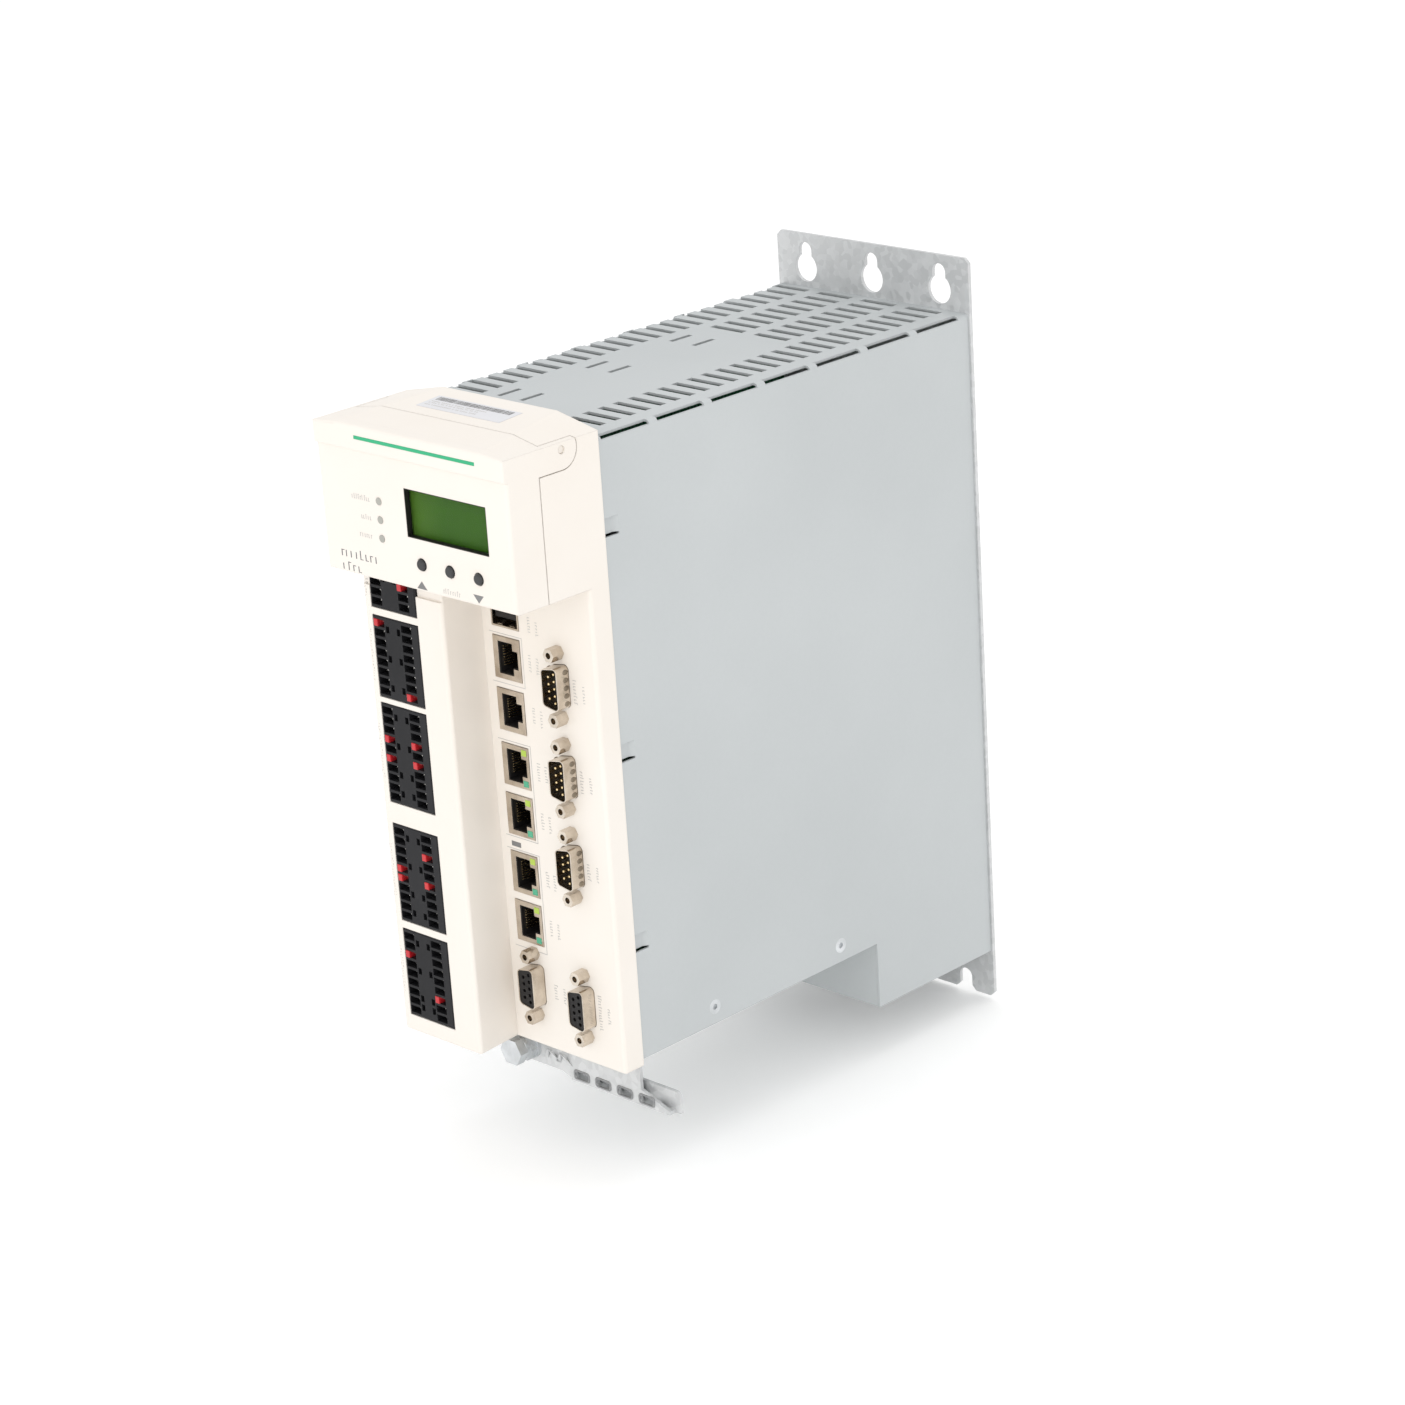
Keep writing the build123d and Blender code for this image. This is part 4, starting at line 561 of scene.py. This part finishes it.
pane_low, pane_high = (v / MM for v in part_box("display_window"))
flap_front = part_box("display_flap")[0].y / MM
pane_lap = 1.6
flap_skin = 1.3
pane_gap = 0.02
shadow_liner_wall = 0.3
opening = (pane_low.x + pane_lap, pane_high.x - pane_lap,
           pane_low.z + pane_lap, pane_high.z - pane_lap)
# The liner is painted shade: it is black where the recess is only in shadow.
shadow_liner = ring_mesh("window_shadow_liner", *opening, flap_front + flap_skin, pane_low.y - pane_gap,
                   shadow_liner_wall)
add_piece("window_shadow_liner", shadow_liner, insert_black, "display_flap")
print("window opening", [round(v, 2) for v in opening])

# %% [markdown]
# ## Printed marks
# The names beside each lamp, key and port are pad-printed in pale grey. Here each is a short row of
# upright strokes of uneven height: it has the size and weight of a printed word without being one.
# Every stroke is a thin raised tile laid on the real surface. A ray is cast onto the part from in
# front, so the tile follows the moulding's draft. A decal image would be quicker but would need a
# file, and a bump could not be exported as a shape.

# %% Surface tiles
from mathutils.bvhtree import BVHTree

INK = 0.03 * MM
RUN_UP = 0.1
RAY_REACH = 0.5
surface_trees = {}


def surface_point(node, place, direction):
    """Where a ray from well outside meets the node."""
    if node not in surface_trees:
        mesh = nodes[node].data
        surface_trees[node] = BVHTree.FromPolygons([v.co for v in mesh.vertices],
                                                   [p.vertices for p in mesh.polygons])
    start = Vector(place) - direction * RUN_UP
    return surface_trees[node].ray_cast(start, direction, RAY_REACH)[0]


def tile_mesh(name, node, outlines, direction):
    """One mesh of thin tiles; an outline is a list of points in millimetres, seen face on."""
    work = bmesh.new()
    for outline in outlines:
        places = [surface_point(node, Vector(p) * MM, direction) for p in outline]
        if None in places:
            continue
        top = [work.verts.new(p - direction * INK) for p in places]
        low = [work.verts.new(p + direction * INK) for p in places]
        work.faces.new(top)
        work.faces.new(low[::-1])
        band(work, top, low)
    return closed_mesh(name, work)


def print_marks(name, node, outlines, direction, material, body):
    """Lays one set of printed marks on a node."""
    add_piece(name, tile_mesh(name, node, outlines, direction), material, body)


print("printed tiles are", 2 * INK / MM, "mm thick")

# %% [markdown]
# ### Words made of strokes
# A word is a row of strokes, most at three quarters of the full height. Some have a short foot at
# the base or the top, as letters do. The draws come from one seeded generator, so every run gives
# the same marks. A word can run across a panel or, turned a quarter, down it.

# %% Stroke words
FRONT = -300.0
STROKE_HEIGHTS = (1.0, 0.72, 0.72, 0.72)
STROKE_STEPS = (0.9, 1.0, 1.1)
FOOT_CHANCE = 0.6
FOOT_REACH = 0.62
WORD_PITCH = 1.15
rng = random.Random(7)


def front_rect(x0, x1, z0, z1):
    """A rectangle facing the operator."""
    return [(x0, FRONT, z0), (x1, FRONT, z0), (x1, FRONT, z1), (x0, FRONT, z1)]


def word_strokes(length, height, pitch, stroke, foot_line):
    """Strokes as spans along the word and above its base line."""
    strokes = []
    along = 0.0
    while along + stroke <= length:
        tall = height * rng.choice(STROKE_HEIGHTS)
        strokes.append((along, along + stroke, 0.0, tall))
        if rng.random() < FOOT_CHANCE:
            foot = rng.choice((0.0, tall - foot_line))
            strokes.append((along + stroke, along + pitch * FOOT_REACH, foot, foot + foot_line))
        along += pitch * rng.choice(STROKE_STEPS)
    return strokes


def word_across(x0, x1, z, height, pitch=WORD_PITCH, stroke=0.34):
    """A word that runs from x0 to x1 about the height z."""
    base = z - height / 2
    return [front_rect(x0 + near, x0 + far, base + foot, base + head)
            for near, far, foot, head in word_strokes(x1 - x0, height, pitch, stroke, 0.28)]


def word_down(x, z_top, z_low, height):
    """A word that runs down the panel about the line x."""
    base = x - height / 2
    return [front_rect(base + foot, base + head, z_top - far, z_top - near)
            for near, far, foot, head in word_strokes(z_top - z_low, height, WORD_PITCH, 0.3, 0.26)]


print("a word steps by about", WORD_PITCH, "mm")

# %% [markdown]
# ### Marks on the display flap
# Three words stand to the left of the lenses, two bold lines lie below them, a triangle sits
# under each outer key and a word under the middle one. They all swing with the flap. A triangle is
# a stack of thin strips, because its base lies where the flap's lower edge rounds away.

# %% Flap marks
back_way = Vector((0, 1, 0))
lens_low, lens_high = (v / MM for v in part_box("status_lenses"))
lens_size = 2.8
word_end = lens_low.x - 3.2
lens_mid = (lens_low.z + lens_high.z) / 2
lens_pitch = (lens_high.z - lens_low.z - lens_size) / 2
pale = []
for row, length in ((1, 10.0), (0, 5.7), (-1, 7.4)):
    pale += word_across(word_end - length, word_end, lens_mid + row * lens_pitch, 2.0)

key_middle = {}
for name in ("button_up", "button_enter", "button_down"):
    key_low, key_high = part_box(name)
    key_middle[name] = (key_low + key_high) / 2 / MM
sign_z = key_middle["button_up"].z - 7.7
enter_x = key_middle["button_enter"].x
pale += word_across(enter_x - 4.5, enter_x + 4.5, sign_z, 2.0)

bold_pitch, bold_stroke = 2.6, 0.5
bold = word_across(-41.5, -20.0, 88.0, 3.4, bold_pitch, bold_stroke)
bold += word_across(-41.3, -31.0, 82.8, 3.2, bold_pitch, bold_stroke)

arrows = []
arrow_rows, arrow_half, row_height = 12, 2.7, 0.25
for name, way in (("button_up", 1), ("button_down", -1)):
    x = key_middle[name].x - 1.0
    for row in range(arrow_rows):
        half = arrow_half * (1 - (row + 0.5) / arrow_rows)
        z = sign_z + way * (row - arrow_rows / 2) * row_height
        arrows.append(front_rect(x - half, x + half, z - row_height / 2, z + row_height / 2))
print_marks("flap_words", "display_flap", pale, back_way, print_pale, "display_flap")
print_marks("flap_lines", "display_flap", bold, back_way, print_dark, "display_flap")
print_marks("flap_arrows", "display_flap", arrows, back_way, print_grey, "display_flap")

# %% [markdown]
# ### Words on the frame
# Each terminal header has a word down its left side. Each port has two down its right side. The
# list holds each word's middle line, its two ends and its height, and one pass prints them all.

# %% Frame words
words = []
for number, inset in ((1, 3.0), (2, 6.0), (3, 9.0), (4, 9.0), (5, 8.0)):
    low, high = (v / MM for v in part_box("terminal_header_%d" % number))
    words.append((low.x - 2.4, high.z - inset, low.z + inset, 1.5))
jack_x = mounts["network_jack_1"].x / MM
jack_z = [mounts["network_jack_%d" % n].z / MM for n in range(1, 7)]
for z in jack_z:
    words += [(jack_x + 12.6, z + 3.6, z - 3.4, 1.7), (jack_x + 16.4, z + 3.0, z - 3.6, 1.4)]
usb_z = mounts["serial_bus_port"].z / MM
words += [(jack_x + 13.6, usb_z + 2.8, usb_z - 3.4, 1.7),
          (jack_x + 17.4, usb_z + 1.5, usb_z - 4.6, 1.4)]
for n, inset, side in ((1, 4.6, 7.0), (2, 4.6, 7.0), (3, 3.2, 7.0), (4, 3.4, 10.2), (5, 7.2, 7.0)):
    port = mounts["port_%d_screws" % n] / MM
    words += [(port.x + side, port.z - 1.5 + inset, port.z - 1.5 - inset, 1.8),
              (port.x + side + 4.6, port.z + 1.4, port.z - 5.4, 1.4)]
frame_words = [stroke for word in words for stroke in word_down(*word)]
print_marks("frame_words", "front_frame", frame_words, back_way, print_pale, "drive")

# %% [markdown]
# ### Lines on the frame
# Fine lines frame the first jack and the two lit pairs on three sides, and one dark bar stands
# between the pairs. A long line is laid in short steps, so each step meets the curved or sloping
# surface where it is.

# %% Frame lines
LINE = 0.28
LINE_STEP = 2.0


def border(x0, x1, z0, z1):
    """The right, lower and upper lines of a box."""
    bars = [front_rect(x1 - LINE, x1, z0, z1)]
    for z in (z0, z1 - LINE):
        x = x0
        while x < x1 - LINE:
            step = min(LINE_STEP, x1 - LINE - x)
            bars.append(front_rect(x, x + step, z, z + LINE))
            x += step
    return bars


boxes = []
for bottom, top in ((jack_z[0] - 10.2, jack_z[0] + 9.4), (jack_z[3] - 9.3, jack_z[2] + 9.5),
                    (jack_z[5] - 11.2, jack_z[4] + 9.2)):
    boxes += border(jack_x - 8.3, jack_x + 9.0, bottom, top)
print_marks("jack_borders", "front_frame", boxes, back_way, print_pale, "drive")
bar_z = (jack_z[3] + jack_z[4]) / 2
bar = [front_rect(jack_x - 5.6, jack_x - 0.6, bar_z - 1.5, bar_z + 0.5)]
print_marks("pair_bar", "front_frame", bar, back_way, print_grey, "drive")

# %% [markdown]
# ### The type label
# The label on top of the hood carries a band of fine upright bars along its rear edge and a few
# faint lines. The crown is curved, so the rays come from above.

# %% Label print
down_way = Vector((0, 0, -1))
ABOVE = 150.0
MARGIN = 2.0
label_low, label_high = (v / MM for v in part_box("type_label"))


def top_rect(x0, x1, y0, y1):
    """A rectangle facing up."""
    return [(x0, y0, ABOVE), (x1, y0, ABOVE), (x1, y1, ABOVE), (x0, y1, ABOVE)]


bars = []
x = label_low.x + MARGIN
while x < label_high.x - 3.0:
    width = rng.choice((0.3, 0.3, 0.55, 0.8))
    bars.append(top_rect(x, x + width, label_high.y - 4.0, label_high.y - 1.0))
    x += width + rng.choice((0.25, 0.25, 0.4))
faint = []
for row in (5.2, 6.7, 8.6):
    x = label_low.x + MARGIN
    while x < label_high.x - rng.choice((6, 14, 20)):
        faint.append(top_rect(x, x + 0.5, label_high.y - row - 0.7, label_high.y - row))
        x += rng.choice((0.9, 1.0, 1.6))
print_marks("label_band", "type_label", bars, down_way, print_grey, "drive")
print_marks("label_lines", "type_label", faint, down_way, print_pale, "drive")

# %% [markdown]
# ## Slot collars
# Each tie slot in the cable strip is punched with a raised collar, so a cable tie has a smooth lip
# to bear on. The collar is a round wire shape swept along the slot's outline: a small circle is
# set square to the path at every corner point, and bands join one circle to the next. Its zinc is
# much darker than the strip's: painted shade for the shadow along the slot edges.

# %% Slot collars
def sweep_ring(work, path, radius, sides=8):
    """A closed tube along a closed path in the XZ plane."""
    rings = []
    for i, point in enumerate(path):
        along = (path[(i + 1) % len(path)] - path[i - 1]).normalized()
        across = along.cross(back_way).normalized()
        ring = []
        for k in range(sides):
            angle = 2 * math.pi * k / sides
            ring.append(work.verts.new(point + across * math.cos(angle) * radius
                                       + back_way * math.sin(angle) * radius))
        rings.append(ring)
    for i, ring in enumerate(rings):
        band(work, ring, rings[(i + 1) % len(rings)])


tie = mounts["tie_slots_inner"]
slot_count, slot_pitch = 4, 11.6 * MM
half_run, half_rise, corner_r = 2.9 * MM, 0.75 * MM, 1.0 * MM
collar_y = tie.y - 0.75 * MM
collar_wire = 0.42 * MM
corner_steps = 4
work = bmesh.new()
for index in range(slot_count):
    centre = Vector((tie.x + (index - (slot_count - 1) / 2) * slot_pitch, collar_y, tie.z))
    path = []
    for start, side, rise in ((-90, 1, -1), (0, 1, 1), (90, -1, 1), (180, -1, -1)):
        for step in range(corner_steps + 1):
            angle = math.radians(start + step * 90 / corner_steps)
            path.append(centre + Vector((side * half_run + math.cos(angle) * corner_r, 0,
                                         rise * half_rise + math.sin(angle) * corner_r)))
    sweep_ring(work, path, collar_wire)
collars = closed_mesh("slot_collars", work)
for face in collars.polygons:
    face.use_smooth = True
# The collars' dark zinc is painted shade for the shadow along the slot edges.
add_piece("slot_collars", collars, collar_shade_zinc, "drive")

# %% [markdown]
# ## Lanced tabs
# Between the slots and the earth screw, two pairs of small pointed tabs are lanced out of the
# sheet and lean towards each other. Each is a triangle of sheet with its foot on the web and its
# tip bent out, so six corners are enough.

# %% Lanced tabs
tab_z = -118.6
foot_half, foot_drop = 1.3, 2.8
tip_lean, tip_out, tip_rise = 1.9, 2.4, 2.9
through_tab = Vector((0, 0.8, -0.3))
work = bmesh.new()
for x, foot, lean in ((-2.6, -1.9, 1), (1.0, 1.9, -1), (4.2, -1.9, 1), (7.4, 1.9, -1)):
    base = Vector((x * MM, tie.y - 0.7 * MM, tab_z * MM))
    corners = [Vector((foot - foot_half, 0, -foot_drop)), Vector((foot + foot_half, 0, -foot_drop)),
               Vector((lean * tip_lean, -tip_out, tip_rise))]
    front = [work.verts.new(base + c * MM) for c in corners]
    rear = [work.verts.new(base + (c + through_tab) * MM) for c in corners]
    work.faces.new(front)
    work.faces.new(rear[::-1])
    band(work, front, rear)
add_piece("lanced_tabs", closed_mesh("lanced_tabs", work), spangled_zinc, "drive")

# %% [markdown]
# ## Springs in the serial bus port
# Four bent leaf springs, two on each long wall of the shell, press on the plug's metal nose. Each
# leaf is a thin strip that leans into the opening and curls back at its tip. Its side view is a
# short list of points, and a four-cornered section is carried along them.

# %% Port springs
usb_low, usb_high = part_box("usb_shell")
usb_mid = (usb_low + usb_high) / 2
inner_half = (usb_high.z - usb_low.z) / 2 - 0.6 * MM
leaf_x, leaf_half, leaf_thick = 3.2 * MM, 1.3 * MM, 0.2 * MM
depth_and_lean = [(0.6, 0.35), (1.6, 0.75), (2.6, 1.25), (3.4, 1.35), (4.4, 0.95), (5.6, 0.2)]
work = bmesh.new()
for wall_side in (-1, 1):
    thick = leaf_thick * wall_side
    for x_mid in (usb_mid.x - leaf_x, usb_mid.x + leaf_x):
        rows = []
        for depth, lean in depth_and_lean:
            y = usb_low.y + depth * MM
            z = usb_mid.z + wall_side * (inner_half - lean * MM)
            rows.append([work.verts.new((x_mid + side * leaf_half, y, z + lift))
                         for side, lift in ((-1, 0), (1, 0), (1, thick), (-1, thick))])
        for first, second in zip(rows, rows[1:]):
            band(work, first, second)
        work.faces.new(rows[0][::-1])
        work.faces.new(rows[-1])
add_piece("port_springs", closed_mesh("port_springs", work), warm_nickel, "drive")

# %% [markdown]
# ## Dimples on the port shells
# A nine-way plug's shell has a row of pressed dimples along each long side; they grip the mating
# shell. Geometry Nodes sets one small dome on each point of a point mesh. The points are the
# input, so a different row needs no new tree.

# %% Dimple tree
# The dimples' finish is painted shade: a dark nickel for the shadow in the pressed hollows.
dimple_inputs = {"Dimple Radius": ("NodeSocketFloat", 1.0 * MM),
                 "Dimple Flatness": ("NodeSocketVector", (0.35, 1.3, 1.0)),
                 "Finish": ("NodeSocketMaterial", dimple_shade_nickel)}
dimples = bpy.data.node_groups.new("shell_dimples", "GeometryNodeTree")
dimples.interface.new_socket("Geometry", in_out="INPUT", socket_type="NodeSocketGeometry")
sockets = {}
for label, (kind, _) in dimple_inputs.items():
    socket = dimples.interface.new_socket(label, in_out="INPUT", socket_type=kind)
    sockets[label] = socket.identifier
dimples.interface.new_socket("Geometry", in_out="OUTPUT", socket_type="NodeSocketGeometry")
entry = dimples.nodes.new("NodeGroupInput")
dome = dimples.nodes.new("GeometryNodeMeshIcoSphere")
dome.inputs["Subdivisions"].default_value = 3
smooth = dimples.nodes.new("GeometryNodeSetShadeSmooth")
spread = dimples.nodes.new("GeometryNodeInstanceOnPoints")
solid = dimples.nodes.new("GeometryNodeRealizeInstances")
coat = dimples.nodes.new("GeometryNodeSetMaterial")
leave = dimples.nodes.new("NodeGroupOutput")
for source, target in (
        (entry.outputs["Dimple Radius"], dome.inputs["Radius"]),
        (dome.outputs["Mesh"], smooth.inputs["Geometry"]),
        (entry.outputs["Geometry"], spread.inputs["Points"]),
        (smooth.outputs["Geometry"], spread.inputs["Instance"]),
        (entry.outputs["Dimple Flatness"], spread.inputs["Scale"]),
        (spread.outputs["Instances"], solid.inputs["Geometry"]),
        (solid.outputs["Geometry"], coat.inputs["Geometry"]),
        (entry.outputs["Finish"], coat.inputs["Material"]),
        (coat.outputs["Geometry"], leave.inputs["Geometry"])):
    dimples.links.new(source, target)
print("dimple tree nodes", len(dimples.nodes))

# %% [markdown]
# The three plugs each get five points on either side. The tree's inputs are set by their
# identifiers before it first runs. The result is copied out as a plain mesh, and the point object
# is thrown away with its modifier.

# %% Dimples on the three plugs
shell_half, dimple_depth, dimple_pitch = 4.2 * MM, 1.4 * MM, 3.0 * MM
points = []
for n in (1, 2, 3):
    port = mounts["port_%d_screws" % n]
    for side in (-1, 1):
        for step in (-2, -1, 0, 1, 2):
            points.append((port.x + side * shell_half, port.y + dimple_depth,
                           port.z + step * dimple_pitch))
carrier_mesh = bpy.data.meshes.new("shell_dimples")
carrier_mesh.from_pydata(points, [], [])
carrier = bpy.data.objects.new("dimple_points", carrier_mesh)
bpy.context.scene.collection.objects.link(carrier)
modifier = carrier.modifiers.new("dimples", "NODES")
modifier.node_group = dimples
for label, (_, value) in dimple_inputs.items():
    modifier[sockets[label]] = value
bpy.context.view_layer.update()
view = bpy.context.evaluated_depsgraph_get()
dimple_mesh = bpy.data.meshes.new_from_object(carrier.evaluated_get(view))
bpy.data.objects.remove(carrier)
add_piece("shell_dimples", dimple_mesh, dimple_shade_nickel, "drive")
